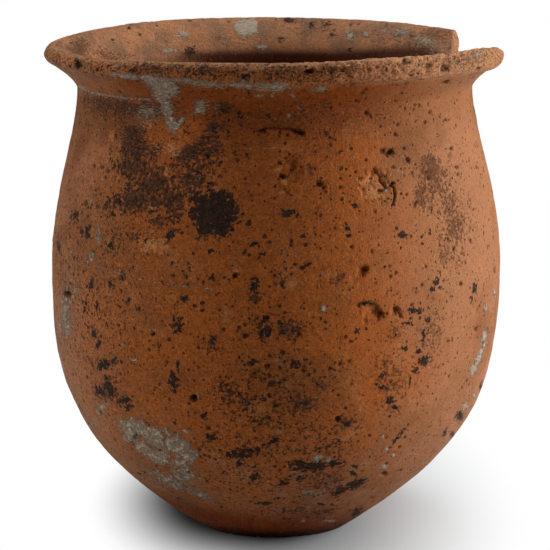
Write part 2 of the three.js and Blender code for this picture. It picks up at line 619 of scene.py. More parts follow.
# Scorched, mottled brown areas
SCORCH = patches(
    Face.OUTSIDE,
    (134, 147, 16, 18, 0, 1.1, 0.9), (132, 166, 14, 13, 0, 1.1, 0.9), (133, 133, 13, 8, 0, 0.95, 0.8),
    (152, 184, 22, 14, 0, 1.15, 0.9), (190, 153, 28, 8, -41, 0.95, 0.9),
    (187, 176, 17, 14, 0, 1.0, 0.9), (131, 199, 20, 12, 0, 1.1, 0.9), (168, 200, 20, 13, 0, 1.15, 0.9),
    (174, 214, 11, 9, 0, 1.0, 0.9), (115, 202, 5, 8), (131, 197, 4, 5), (148, 196, 4, 4),
    (160, 221, 12, 7, 0, 0.9), (115, 244, 14, 18, 0, 0.6, 0.8), (132, 236, 16, 10, 0, 0.55, 0.9),
    (212, 152, 14, 24, 0, 0.75, 0.8), (213, 128, 11, 11, 0, 0.95, 0.7), (223, 109, 8, 6, 0, 0.9),
    (100, 101, 13, 6, 5, 0.9), (140, 108, 34, 9, 4, 0.95, 0.6), (430, 167, 8, 11, -15, 1.15, 0.8),
    (421, 194, 6, 11, 0, 1.05, 0.8), (436, 184, 14, 20, -10, 0.82, 0.9),
    (448, 206, 12, 16, 0, 0.7, 0.9), (455, 226, 13, 18, 0, 0.72, 0.9),
    (449, 254, 12, 13, 0, 0.56, 0.9), (289, 328, 13, 10, 0, 0.9, 0.7), (394, 331, 8, 8, 0, 0.75),
    (282, 282, 4, 7, 0, 0.8), (338, 279, 7, 4, -40, 0.75), (256, 298, 4, 5, 0, 0.85),
    (212, 347, 8, 7, 0, 0.75), (246, 403, 13, 11, 0, 0.85, 0.8), (303, 403, 15, 8, -10, 0.85, 0.8),
    (320, 386, 6, 5, 0, 0.85), (261, 421, 12, 7, 0, 0.8, 0.8), (345, 423, 10, 7, 0, 0.75, 0.8),
    (320, 480, 22, 14, -15, 0.6, 0.9), (265, 380, 22, 12, 10, 0.56, 1.0),
    (330, 445, 22, 12, 0, 0.55, 1.0), (225, 395, 14, 20, -30, 0.6, 1.0),
    (390, 385, 18, 20, 0, 0.58, 1.0), (300, 512, 30, 6, 0, 0.62, 0.9), (428, 335, 12, 22, 0, 0.5, 1.0),
    (311, 168, 4, 5, 0, 0.7), (324, 105, 7, 4, 0, 0.7), (135, 436, 5, 7, 0, 0.8),
    (155, 68, 24, 4.5, 3, 0.72, 0.8), (207, 69, 12, 5, 0, 0.85, 0.8), (277, 69, 13, 3, 0, 0.6, 0.8),
    (340, 69, 20, 4.5, -3, 0.68, 0.8), (407, 63, 4, 2.5, 0, 0.7), (455, 60, 26, 7, -12, 0.42, 1.0),
    (108, 104, 26, 8, 8, 0.8, 0.8), (285, 400, 55, 32, 0, 0.4, 0.9), (250, 455, 45, 28, 0, 0.44, 0.9),
    (320, 440, 45, 32, 0, 0.42, 0.9), (300, 118, 90, 15, 0, 0.36, 0.9),
    (110, 300, 40, 60, 0, 0.34, 0.9), (262, 325, 10, 12, 0, 0.72, 0.8),
    (106, 393, 10, 10, 0, 0.72, 0.8),
) + patches(
    Face.INSIDE,
    (108, 56, 20, 7, 6, 0.62, 0.8), (79, 48, 10, 9, 0, 0.95), (415, 46, 36, 12, 8, 0.6, 0.8),
    (440, 37, 16, 13, 0, 0.68, 0.8), (320, 26, 22, 9, 0, 0.52, 0.9), (55, 50, 9, 10, 0, 0.65, 0.8),
)

# Pale lime crust and smears
LIME = patches(
    Face.OUTSIDE,
    (163, 86, 13, 8, 25, 1.3), (152, 79, 10, 3.5, 8, 1.25), (162, 94, 8, 7, 40, 1.3),
    (167, 108, 5, 12, -12, 1.3), (172, 123, 4.5, 8, -18, 1.3), (177, 126, 5, 2.5, -35, 1.25),
    (182, 121, 2.2, 3.5, 30, 1.2), (128, 76, 18, 2.2, 6, 1.0), (186, 80, 14, 2, 3, 1.0),
    (208, 84, 22, 3, 3, 0.85, 0.8), (243, 85, 24, 3.5, 1, 0.95, 0.8), (270, 87, 18, 4, 2, 1.05, 0.6),
    (293, 96, 5, 2.5, 20, 0.8), (259, 96, 4, 1.6, 0, 0.8), (271, 96, 3, 1.5, 0, 0.8),
    (320, 89, 8, 3, -12, 0.8), (200, 108, 6.5, 7, 0, 1.15), (216, 108, 3, 4, 0, 0.7),
    (150, 112, 14, 12, 0, 0.7, 0.9), (299, 109, 2, 5, 0, 0.65), (289, 116, 2, 3, 0, 0.65),
    (66, 312, 7, 24, 5, 0.78, 0.9), (99, 236, 3, 8, 0, 0.78), (92, 257, 3.5, 5, 0, 0.78),
    (153, 330, 3.5, 2, 0, 0.75), (123, 344, 3, 2, 0, 0.75), (133, 360, 3, 2, 0, 0.75),
    (192, 278, 2.5, 2, 0, 0.75), (210, 288, 3, 2, 0, 0.75), (186, 432, 3, 3, 0, 0.75),
    (102, 408, 5, 6, 30, 0.95, 0.7), (134, 427, 12, 7, 30, 1.2, 0.7), (156, 437, 14, 8, 32, 1.2, 0.8),
    (128, 436, 8, 6, 40, 0.95, 0.8), (144, 449, 12, 6, 32, 1.05, 0.8),
    (402, 164, 13, 15, 0, 0.29, 0.6), (175, 445, 15, 9, 35, 1.15, 0.7), (190, 457, 7, 7, 30, 1.15),
    (158, 457, 14, 7, 25, 1.05, 0.8), (182, 470, 14, 10, 40, 1.0, 0.9), (168, 480, 17, 4, 28, 1.0),
    (200, 494, 13, 3.5, 18, 0.95), (96, 425, 2, 3, 0, 0.7), (484, 338, 2, 9, 12, 1.1, 0.7),
    (480, 354, 2.4, 15, 22, 1.35, 0.7), (474, 369, 2.4, 5, 20, 1.1, 0.8), (495, 293, 1.5, 4, 0, 0.8),
    (486, 308, 2, 4, 0, 0.75), (474, 395, 2, 3, 0, 0.8), (466, 407, 3, 3.5, 0, 0.85),
    (310, 493, 13, 2, 0, 0.85), (317, 458, 5, 2.5, 0, 0.95), (328, 459, 3, 2, 0, 0.85),
    (281, 431, 4, 2, 0, 0.85), (241, 421, 2.5, 2, 0, 0.9), (329, 521, 7, 1.5, 0, 0.8),
    (302, 521, 3, 1.5, 0, 0.8), (271, 514, 3, 1.5, 0, 0.8), (308, 508, 3, 1.5, 0, 0.75),
    (382, 437, 2.5, 2, 0, 0.9), (393, 455, 2.5, 2, 0, 0.9), (385, 449, 3, 3, 0, 0.75),
    (384, 467, 5, 2, -35, 0.85), (323, 308.5, 2.5, 2.5, 0, 1.2, 0.1), (198, 396, 2, 3, 0, 0.9),
    (105, 170, 2, 1.5, 0, 0.8), (387, 190, 2, 1.5, 0, 0.95), (79, 60, 1.6, 4, 0, 0.95),
    (118, 67, 2.5, 2.5, 0, 0.8), (67, 300, 4, 2.5, 30, 0.85), (91, 201, 2.5, 3, 0, 0.7),
    (67, 213, 1.5, 3, 0, 0.7), (474, 56, 8, 3, -10, 0.75, 0.8), (371, 303, 3, 1.4, 0, 0.9),
    (367, 305.5, 2, 1, 0, 0.85), (391.5, 155, 1.3, 1.5, 0, 0.8),
) + patches(
    Face.INSIDE,
    (170, 51, 7, 2.2, 0, 1.2, 0.8), (166, 56, 2, 1.5, 0, 0.9, 0.3), (246, 28, 9, 6, 0, 1.7, 0.5),
    (262, 47, 6, 1.8, 0, 1.1, 0.5), (182, 34, 5, 3, 0, 0.8, 0.7), (350, 36, 4, 5, 0, 0.85, 0.7),
    (366, 34, 3, 3, 0, 0.8, 0.7), (400, 34, 16, 6, 5, 0.62, 0.9), (430, 42, 12, 6, 10, 0.7, 0.9),
    (440, 49, 14, 9, 10, 0.6, 0.9),
)

# Clean, brighter clay: chips, worn places and islands in the scorch
FRESH = patches(
    Face.OUTSIDE,
    (66, 58, 10, 6, 30, 1.0), (112, 138, 4, 7.5), (120, 145, 3, 3), (148, 126, 5, 4), (155, 148, 5, 4),
    (166, 172, 4, 4), (147, 180, 3, 3), (153, 206, 3, 6.5), (172, 182, 1.6, 9, -8), (138, 193, 3, 2),
    (175, 150, 12, 9, 0, 0.8, 0.7), (153, 243, 20, 13, 0, 0.75, 0.6), (278, 171, 2.5, 3),
    (285, 182, 4, 3), (282, 192, 3, 2), (235, 270, 3, 2), (440, 66, 12, 4, -10, 0.8),
    (425, 68, 10, 4, 0, 0.75), (375, 63, 14, 4, 0, 0.75),
) + patches(
    Face.INSIDE,
    (196, 33, 2.5, 2), (168, 23, 3, 2),
)

COATS_SEEN = {Coat.SOOT: SOOT, Coat.SCORCH: SCORCH, Coat.LIME: LIME, Coat.FRESH: FRESH}

# Pits, holes and scars: x, y, wide, tall and depth, and as far as given turn, dark, fresh and ragged
DENTS = tuple(Dent(*row) for row in (
    (377, 187, 17, 18, 0.55, 40, 0.0, 0.72, 0.4), (380, 179, 5.5, 13, 0.6, -35, 0.12, 0.2, 0.8),
    (381, 190.5, 3.4, 2.6, 1.0, 10, 1.0, 0.0, 0.4), (371, 178, 2, 2, 0.5, 0, 0.7),
    (375, 181, 1.6, 1.4, 0.5, 0, 0.8), (393, 183, 1.8, 1.6, 0.8, 0, 1.0),
    (386.5, 152.5, 5.5, 4, 0.7, 25, 0.25, 0.2, 1.0), (384, 151.5, 2.2, 2.4, 0.4, 0, 0.8, 0.0, 1.0),
    (389.5, 153.5, 2.6, 2.8, 0.5, -25, 0.9, 0.0, 1.2), (408, 160.5, 1.8, 3, 0.7, -25, 1.0),
    (404, 148.5, 1.5, 1.7, 0.4), (393, 167, 2.2, 2, 0.3), (415.5, 164.5, 1.3, 1.3, 0.4),
    (412, 172.5, 1.4, 1.4, 0.4), (398, 176, 4, 2, 0.1, 30, 0.0), (401, 194, 1.3, 1.4, 0.4, 0, 1.0),
    (406.5, 194.5, 1.3, 1.5, 0.4, 0, 1.0), (362, 271.5, 6, 4.2, 0.9, -35, 0.1, 0.3, 0.9),
    (365.5, 269.5, 3.4, 2.6, 0.6, -35, 0.8, 0.0, 1.0), (357, 278, 7, 4, 0.3, -30, 0.05, 0.3),
    (371, 311, 13, 8, 0.7, 30, 0.0, 0.4, 0.8), (378, 312, 3.6, 6.5, 0.8, -25, 0.45, 0.1, 0.9),
    (395.5, 311, 6.5, 5.2, 0.8, 30, 0.1, 0.3, 1.0), (397.5, 309.5, 3.2, 3.8, 0.6, -20, 0.8, 0.0, 1.2),
    (400, 316, 1.9, 2.6, 0.35, 0, 0.7), (67, 294, 4, 3, 1.6, 30, 1.0),
    (194, 398.5, 2.6, 3.4, 1.6, 0, 1.0, 0.0, 0.9), (289, 172, 12, 15, 0.35, 20, 0.08, 0.35, 0.7),
    (282, 176, 3.5, 2.5, 0.8, 20, 0.9), (293, 166, 3, 7, 0.4, 25, 0.4),
    (279, 163, 2.5, 2, 0.4, 0, 0.7), (319, 184, 3.5, 2.5, 0.8, 0, 0.95), (102, 167, 2, 2, 0.5),
    (108, 171, 2, 2, 0.5), (86, 203, 2, 3, 0.5), (98, 207, 2, 2, 0.5), (452, 148, 1.8, 2.2, 0.6),
    (450, 155, 2.5, 3, 0.3, 0, 0.4), (457, 167, 2, 2, 0.5), (458, 174, 1.6, 2, 0.5),
    (430, 112, 2, 2, 0.5), (395, 134, 1.8, 1.8, 0.5), (366, 113, 2, 2, 0.5), (440, 288, 1.8, 1.8, 0.5),
    (461, 284, 1.8, 2.4, 0.6), (476, 329, 1.5, 2.4, 0.6), (495, 270, 1.2, 4, 0.6),
    (338, 419, 2.8, 3, 0.8), (384, 474, 3, 2.6, 0.8), (235, 275.5, 2.5, 3.4, 0.9, 0, 1.0),
    (267, 366, 3, 2.4, 0.9, 0, 1.0), (153, 334, 2.4, 2.6, 0.8, 0, 1.0),
    (446, 82.6, 4.6, 1.8, 0.9, -15, 0.85), (406, 83.5, 3, 1.3, 0.4, -10, 0.6),
    (353, 84, 3, 1.3, 0.4, -10, 0.6), (366, 89, 1.8, 1.5, 0.4), (309, 71, 4.8, 1.8, 1.0, 0, 1.0),
    (411, 75.5, 3.6, 1.4, 0.6), (444, 69, 3.5, 5.5, 1.0, 10, 0.8, 0.4),
    (478, 69, 3, 1.8, 0.7, -25, 0.9), (77, 64, 3.2, 5.5, 1.0, 0, 0.9),
    (407, 61, 6, 2.6, 0.7, 5, 0.2, 0.5), (428, 66, 3, 3, 0.5, 0, 0.6, 0.4), (97, 70, 1.6, 1.6, 0.4),
    (340, 178, 1.6, 1.6, 0.4), (340, 187, 1.6, 1.6, 0.4), (446, 120, 1.6, 1.6, 0.4),
    (356, 101, 1.6, 1.6, 0.4), (415, 105, 1.6, 1.6, 0.4),
))

# Cuts, creases and thin lines
SCRATCHES = (
    Scratch(((373.5, 168.5), (377, 172), (381, 176), (382, 181), (385, 184), (387, 188)), 1.1, 0.7,
            strength=0.75),
    Scratch(((379, 169), (382, 173), (385, 176), (388.5, 180), (389, 183)), 0.7, 0.4, strength=0.6),
    Scratch(((391.5, 185), (394, 188), (395.2, 194), (394.3, 200), (391.5, 206)), 0.9, 0.6, strength=1.0),
    Scratch(((394.5, 188), (396, 193), (395.6, 199)), 0.7, -0.2, Coat.FRESH, 0.9),
    Scratch(((364.5, 171), (366.5, 175)), 0.8, 0.3, strength=0.7),
    Scratch(((358.5, 304.5), (365, 303), (373, 303.5), (378, 307), (380, 312), (383.5, 317)), 1.6, 0.5,
            strength=1.0),
    Scratch(((369.5, 183), (374, 185.5)), 0.8, 0.3, strength=0.7),
    Scratch(((357, 184), (361, 186.5)), 0.8, 0.3, strength=0.6),
    Scratch(((357.5, 188), (361, 193)), 0.8, -0.2, Coat.FRESH, 0.9),
    Scratch(((379, 198), (384, 201), (387, 203)), 0.9, 0.3, strength=0.6),
    Scratch(((261.6, 130.4), (267, 128), (278, 128.2), (288, 128.2), (296, 131.4), (302, 133)), 1.3, 0.5),
    Scratch(((260, 130.5), (264, 129.6)), 1.8, 0.6, strength=1.0),
    Scratch(((293, 130.2), (302.5, 133.2)), 1.9, 0.7, strength=1.0),
    Scratch(((250, 149), (277, 148), (292, 149), (316, 149)), 0.8, 0.1, Coat.FRESH, 0.7),
    Scratch(((58.7, 241.6), (71, 252), (87, 261.6), (107, 269.5), (129, 276.3), (150, 281.6),
             (175, 285), (209, 289)), 0.8, 0.12, Coat.LIME, 0.62),
    Scratch(((458, 327), (472, 317)), 0.9, 0.1, Coat.FRESH, 0.7),
    Scratch(((78, 86.5), (91, 93), (111, 96), (132, 99), (152, 100)), 1.5, 0.25, Coat.LIME, 0.75),
)


@dataclass
class Weather:
    """What time has done to the clay: unevenness, stains, crust, pits and scratches."""

    shape: JarShape
    uneven: float = 0.22 * MM
    uneven_size: float = 42.0 * MM
    lump: float = 0.09 * MM
    lump_size: float = 7.0 * MM
    grain: float = 0.035 * MM
    grain_size: float = 1.7 * MM
    wiped: float = 0.05 * MM
    wiped_height: float = 2.2 * MM
    wiped_length: float = 30.0 * MM
    lime_thickness: float = 0.14 * MM
    scorch_thickness: float = 0.06 * MM
    soot_thickness: float = 0.04 * MM
    crust_size: float = 1.6 * MM
    crust_uneven: float = 1.5
    pit_spacing: float = 3.4 * MM
    pit_depth: float = 0.45 * MM
    pit_radius: float = 0.35 * MM
    pit_radius_spread: float = 0.7 * MM
    pit_dark: float = 0.95
    without_pit: float = 0.5
    blotches: list[Blotch] = field(init=False)

    # Amounts of a coat between which it gets its thickness
    THICKENS = (0.4, 0.7)
    # Part of a pit's radius over which it slopes down
    PIT_SLOPE = (0.0, 0.7)
    # Turn the middle of each cell into a number of its own between 0 and 1
    CELL_TURNS = np.array((12.99, 78.23, 37.72))
    CELL_SPREAD = 43758.5
    # Marks on the back: kind, number, smallest and largest radius in millimetres, most lobes
    BACK_MARKS = (
        (Coat.SOOT, 170, 0.5, 1.6, 2),
        (Coat.SOOT, 14, 1.4, 4.0, 6),
        (Coat.SCORCH, 26, 2.0, 6.0, 5),
        (Coat.SCORCH, 6, 6.0, 10.0, 7),
        (Coat.LIME, 40, 0.6, 2.4, 3),
        (Coat.LIME, 4, 3.0, 6.0, 6),
        (Coat.FRESH, 16, 1.2, 4.0, 3),
    )
    # Where they lie: azimuth in degrees, height in millimetres, and lowest and highest middle of a lobe
    BACK_AZIMUTHS = (-12.0, 192.0)
    BACK_HEIGHTS = (6.0, 140.0)
    LOBE_HEIGHTS = (2.0 * MM, 145.0 * MM)
    # How far a lobe lies from the middle of its mark up or down and sideways, and its size, in radii
    LOBE_RISE = 1.4
    LOBE_ASIDE = 1.6
    LOBE_SIZES = (0.5, 1.0)
    # Makes most marks of a kind small
    SMALL_MARKS = 2.5

    def __post_init__(self) -> None:
        """Scatters marks over the side that the photograph doesn't show."""
        dice = np.random.default_rng(SEED)
        self.blotches = []
        for kind, count, small, large, lobes in self.BACK_MARKS:
            for _mark in range(count):
                azimuth = math.radians(dice.uniform(*self.BACK_AZIMUTHS))
                height = dice.uniform(*self.BACK_HEIGHTS) * MM
                size = (small + (large - small) * dice.random() ** self.SMALL_MARKS) * MM
                for _lobe in range(dice.integers(1, lobes, endpoint=True)):
                    level = height + size * dice.uniform(-self.LOBE_RISE, self.LOBE_RISE)
                    level = float(np.clip(level, *self.LOBE_HEIGHTS))
                    point, _out = self.shape.at(np.array((level,)))
                    radius = point[0, 0]
                    turn = azimuth + size * dice.uniform(-self.LOBE_ASIDE, self.LOBE_ASIDE) / radius
                    centre = np.array((radius * math.cos(turn), radius * math.sin(turn), level))
                    self.blotches.append(Blotch(centre, size * dice.uniform(*self.LOBE_SIZES), kind))

    def apply(self, skin: Skin) -> None:
        """Weathers one piece, then moves its points.

        Args:
            skin: surface of the piece.
        """
        self.roughen(skin)
        for kind, laid in COATS_SEEN.items():
            for patch in laid:
                patch.lay(skin, kind)
        for blotch in self.blotches:
            blotch.lay(skin)
        self.pit(skin)
        for dent in DENTS:
            dent.press(skin)
        for scratch in SCRATCHES:
            scratch.cut(skin)
        lumps = self.crust_uneven * skin.noise(self.crust_size, 2, 9.0)
        thick = {kind: smooth(amount, *self.THICKENS) for kind, amount in skin.coats.items()}
        skin.rise += self.lime_thickness * thick[Coat.LIME] * (1.0 + lumps)
        skin.rise += self.scorch_thickness * thick[Coat.SCORCH] * lumps
        skin.rise += self.soot_thickness * thick[Coat.SOOT]
        skin.points = skin.points + skin.normals * skin.rise[:, None]
        skin.points[:, 2] = np.maximum(skin.points[:, 2], 0.0)

    def roughen(self, skin: Skin) -> None:
        """Adds the unevenness of a wall that was built and wiped by hand.

        Args:
            skin: surface of the piece.
        """
        skin.rise += self.uneven * skin.noise(self.uneven_size, 2)
        skin.rise += self.lump * skin.noise(self.lump_size, 3, 3.0)
        skin.rise += self.grain * skin.noise(self.grain_size, 2, 5.0)
        strokes = np.array((self.wiped_length, self.wiped_length, self.wiped_height))
        skin.rise += self.wiped * cloudy(skin.points / strokes, 2)

    def pit(self, skin: Skin) -> None:
        """Presses small round pits into the surface, where grains have fallen out.

        Args:
            skin: surface of the piece.
        """
        cells = [noise.voronoi(place) for place in (skin.points / self.pit_spacing).tolist()]
        distance = np.array([near[0][0] for near in cells]) * self.pit_spacing
        centre = np.array([tuple(near[1][0]) for near in cells])
        chance = np.modf(np.abs(np.sin(centre @ self.CELL_TURNS) * self.CELL_SPREAD))[0]
        large = np.clip(chance - self.without_pit, 0.0, 1.0) / (1.0 - self.without_pit)
        radius = self.pit_radius + self.pit_radius_spread * large
        hollow = smooth(1.0 - distance / radius, *self.PIT_SLOPE) * (chance > self.without_pit)
        skin.rise -= self.pit_depth * hollow * (radius / MM)
        # Painted shade in the pit's hollow, partly dirt
        skin.coat(Coat.PIT, self.pit_dark * hollow)


class NodeBoard:
    """Adds and links the nodes of one shader tree."""

    def __init__(self, tree: bpy.types.NodeTree) -> None:
        """Starts on an empty tree."""
        self.tree = tree
        self.tree.nodes.clear()

    def add(self, kind: str, inputs: dict | None = None, **settings: object) -> bpy.types.Node:
        """A new node.

        Args:
            kind: the node's type.
            inputs: sockets to link or values to set, by socket name or number.
            settings: the node's own options.

        Returns:
            The node.
        """
        node = self.tree.nodes.new(kind)
        for name, value in settings.items():
            setattr(node, name, value)
        for key, value in (inputs or {}).items():
            if isinstance(value, Socket):
                self.tree.links.new(value, node.inputs[key])
            else:
                node.inputs[key].default_value = value
        return node

    def math(self, operation: str, first: object, second: object = 0.0, third: object = 0.0) -> Socket:
        """The result of a sum on up to three numbers or sockets."""
        inputs = {0: first, 1: second, 2: third}
        return self.add("ShaderNodeMath", inputs, operation=operation).outputs[0]

    def times(self, first: object, *others: object) -> Socket:
        """The product of numbers and sockets.

        Args:
            first: a number or socket.
            others: the numbers and sockets to multiply it by.

        Returns:
            The product.
        """
        for other in others:
            first = self.math("MULTIPLY", first, other)
        return first

    def raised(self, value: object, scale: object, base: object) -> Socket:
        """A number or socket scaled and added to a base."""
        return self.math("MULTIPLY_ADD", value, scale, base)

    def vector(self, operation: str, *values: object) -> bpy.types.Node:
        """A sum on vectors."""
        return self.add("ShaderNodeVectorMath", dict(enumerate(values)), operation=operation)

    def mix(self, share: object, first: object, second: object, blend: str = "MIX") -> Socket:
        """A colour that goes from first to second with share."""
        inputs = {0: share, 6: first, 7: second}
        return self.add("ShaderNodeMix", inputs, data_type="RGBA", blend_type=blend).outputs[2]

    def step(self, value: object, low: object, high: object,
             start: float = 0.0, end: float = 1.0) -> Socket:
        """A number that goes smoothly from start to end as value goes from low to high."""
        inputs = {0: value, 1: low, 2: high, 3: start, 4: end}
        return self.add("ShaderNodeMapRange", inputs, interpolation_type="SMOOTHSTEP").outputs[0]

    def fall(self, value: object, low: object, high: object) -> Socket:
        """A number that goes smoothly from 1 to 0 as value goes from low to high."""
        return self.step(value, low, high, 1.0, 0.0)

    def noise(self, place: object, scale: object, detail: float, roughness: float) -> bpy.types.Node:
        """A noise texture on given coordinates."""
        inputs = {"Vector": place, "Scale": scale, "Detail": detail, "Roughness": roughness}
        return self.add("ShaderNodeTexNoise", inputs)

    def tone(self, place: object, scale: object, detail: float, roughness: float) -> Socket:
        """The grey value of a noise texture."""
        return self.noise(place, scale, detail, roughness).outputs["Fac"]

    def amount(self, name: str) -> Socket:
        """A number that the surface carries at each point."""
        return self.add("ShaderNodeAttribute", attribute_name=name).outputs["Fac"]

    def group(self, tree: bpy.types.NodeTree, inputs: dict) -> bpy.types.Node:
        """A shared group whose inputs are linked or set here."""
        return self.add("ShaderNodeGroup", inputs, node_tree=tree)

    def give(self, value: Socket, output: Socket) -> None:
        """Links a value to an output of a group."""
        self.tree.links.new(value, output)


Opened = tuple[NodeBoard, dict[str, Socket], bpy.types.NodeInputs]


def new_group(name: str, inputs: dict[str, str], outputs: dict[str, str]) -> Opened:
    """An empty shader node group with named sockets.

    Args:
        name: the group's name.
        inputs: type of each input socket.
        outputs: type of each output socket.

    Returns:
        A board to build it on, what it is given by name, and what it puts out.
    """
    tree = bpy.data.node_groups.new(name, "ShaderNodeTree")
    for socket, kind in inputs.items():
        tree.interface.new_socket(socket, in_out="INPUT", socket_type=kind)
    for socket, kind in outputs.items():
        tree.interface.new_socket(socket, in_out="OUTPUT", socket_type=kind)
    board = NodeBoard(tree)
    entry = board.add("NodeGroupInput")
    given = {socket: entry.outputs[socket] for socket in inputs}
    return board, given, board.add("NodeGroupOutput").inputs


FLOAT = "NodeSocketFloat"
VECTOR = "NodeSocketVector"


def ragged_edge_group() -> bpy.types.NodeTree:
    """A soft amount turned into a mask with a ragged edge that breaks up into specks.

    Returns:
        The group, which also puts out a soft halo round the mask.
    """
    inputs = {"Place": VECTOR, "Amount": FLOAT, "Scale": FLOAT, "Spread": FLOAT, "Softness": FLOAT}
    board, given, out = new_group("ragged_edge", inputs, {"Mask": FLOAT, "Halo": FLOAT})
    tatter = board.tone(given["Place"], given["Scale"], 4.0, 0.7)
    shifted = board.times(board.math("SUBTRACT", tatter, 0.5), given["Spread"])
    value = board.math("ADD", board.raised(given["Amount"], 1.15, -0.12), shifted)
    low = board.math("SUBTRACT", 0.5, given["Softness"])
    high = board.math("ADD", 0.5, given["Softness"])
    board.give(board.step(value, low, high), out["Mask"])
    board.give(board.step(value, 0.1, 0.75), out["Halo"])
    return board.tree


def speck_group() -> bpy.types.NodeTree:
    """Scattered specks of uneven size and outline.

    Returns:
        The group. Share of its cells have a speck, with a radius of up to Size cells.
    """
    inputs = {"Place": VECTOR, "Scale": FLOAT, "Share": FLOAT, "Size": FLOAT}
    board, given, out = new_group("speck_field", inputs, {"Mask": FLOAT})
    warp = board.noise(given["Place"], board.times(given["Scale"], 2.2), 3.0, 0.55).outputs["Color"]
    offset = board.vector("SUBTRACT", warp, (0.5, 0.5, 0.5)).outputs[0]
    push = {0: offset, "Scale": board.math("DIVIDE", 0.7, given["Scale"])}
    pushed = board.add("ShaderNodeVectorMath", push, operation="SCALE").outputs[0]
    place = board.vector("ADD", given["Place"], pushed).outputs[0]
    cells = board.add("ShaderNodeTexVoronoi", {"Vector": place, "Scale": given["Scale"]})
    chance = board.add("ShaderNodeSeparateColor", {0: cells.outputs["Color"]}).outputs[0]
    over = board.math("SUBTRACT", board.math("ADD", chance, given["Share"]), 1.0)
    reach = board.times(board.math("DIVIDE", over, given["Share"]), given["Size"])
    gap = board.math("SUBTRACT", reach, cells.outputs["Distance"])
    board.give(board.step(gap, -0.06, 0.06), out["Mask"])
    return board.tree


def grain_group() -> bpy.types.NodeTree:
    """The sandy grain of fired clay.

    Returns:
        The group, which puts the grain out as a tone and as a height.
    """
    board, given, out = new_group("clay_grain", {"Place": VECTOR}, {"Tone": FLOAT, "Height": FLOAT})
    fine = board.step(board.tone(given["Place"], 1700.0, 3.0, 0.65), 0.34, 0.66)
    coarse = board.step(board.tone(given["Place"], 420.0, 4.0, 0.65), 0.34, 0.66)
    cells = board.add("ShaderNodeTexVoronoi", {"Vector": given["Place"], "Scale": 1700.0})
    sand = board.add("ShaderNodeSeparateColor", {0: cells.outputs["Color"]}).outputs[0]
    both = board.raised(fine, 0.45, board.times(sand, 0.3))
    board.give(board.raised(coarse, 0.25, both), out["Tone"])
    board.give(board.raised(coarse, 0.3, both), out["Height"])
    return board.tree


@dataclass(frozen=True)
class ClayZones:
    """Where parts of the jar with a look of their own start and end, in metres.

    The first four are values of outside instead, which is 0 on the inner face and 1 on the outer one.
    """

    outer_face: Pair = (0.2, 0.6)
    lip_face: Pair = (0.4, 0.6)
    crest_inner_edge: Pair = (0.35, 0.5)
    crest_outer_edge: Pair = (0.64, 0.76)
    left: Pair = (0.0, 0.045)
    lip: Pair = (0.1532, 0.155)
    # Heights of the painted highlight along the lip's top edge
    lit_crest: Pair = (0.1545, 0.156)
    dust_top: Pair = (0.012, 0.062)
    dust_bottom: Pair = (0.006, 0.02)
    # Heights of the painted contact shade at the foot and at the sole
    foot: Pair = (0.007, 0.0155)
    sole: Pair = (0.001, 0.006)
    front_sides: Pair = (0.016, 0.060)
    front_back: Pair = (-0.06, -0.02)
    border_uneven: float = 0.05
    # Heights of the painted shadow of the lip on the neck
    neck_bottom: Pair = (0.127, 0.143)
    # Where the inside of the back below the flare gets painted shade
    neck_top: Pair = (0.151, 0.157)
    deep_top: Pair = (0.1495, 0.153)
    deep_bottom: Pair = (0.105, 0.14)
    deep_left: Pair = (-0.048, -0.02)
    deep_right: Pair = (0.050, 0.058)
    deep_front: Pair = (0.0, 0.03)
    deep_slant_from: float = 0.02
    wiped_from: float = 0.132

    # How much the borders of the painted shade at the foot and inside below the flare slant
    foot_slant: float = 0.12
    deep_slant: float = 0.12
    # How much flatter the coats' ragged edges get above the height they are wiped from
    wiped_stretch: float = 2.0
    # Shortens distances to the left and gives them as distances to the right
    front_left: float = -0.55


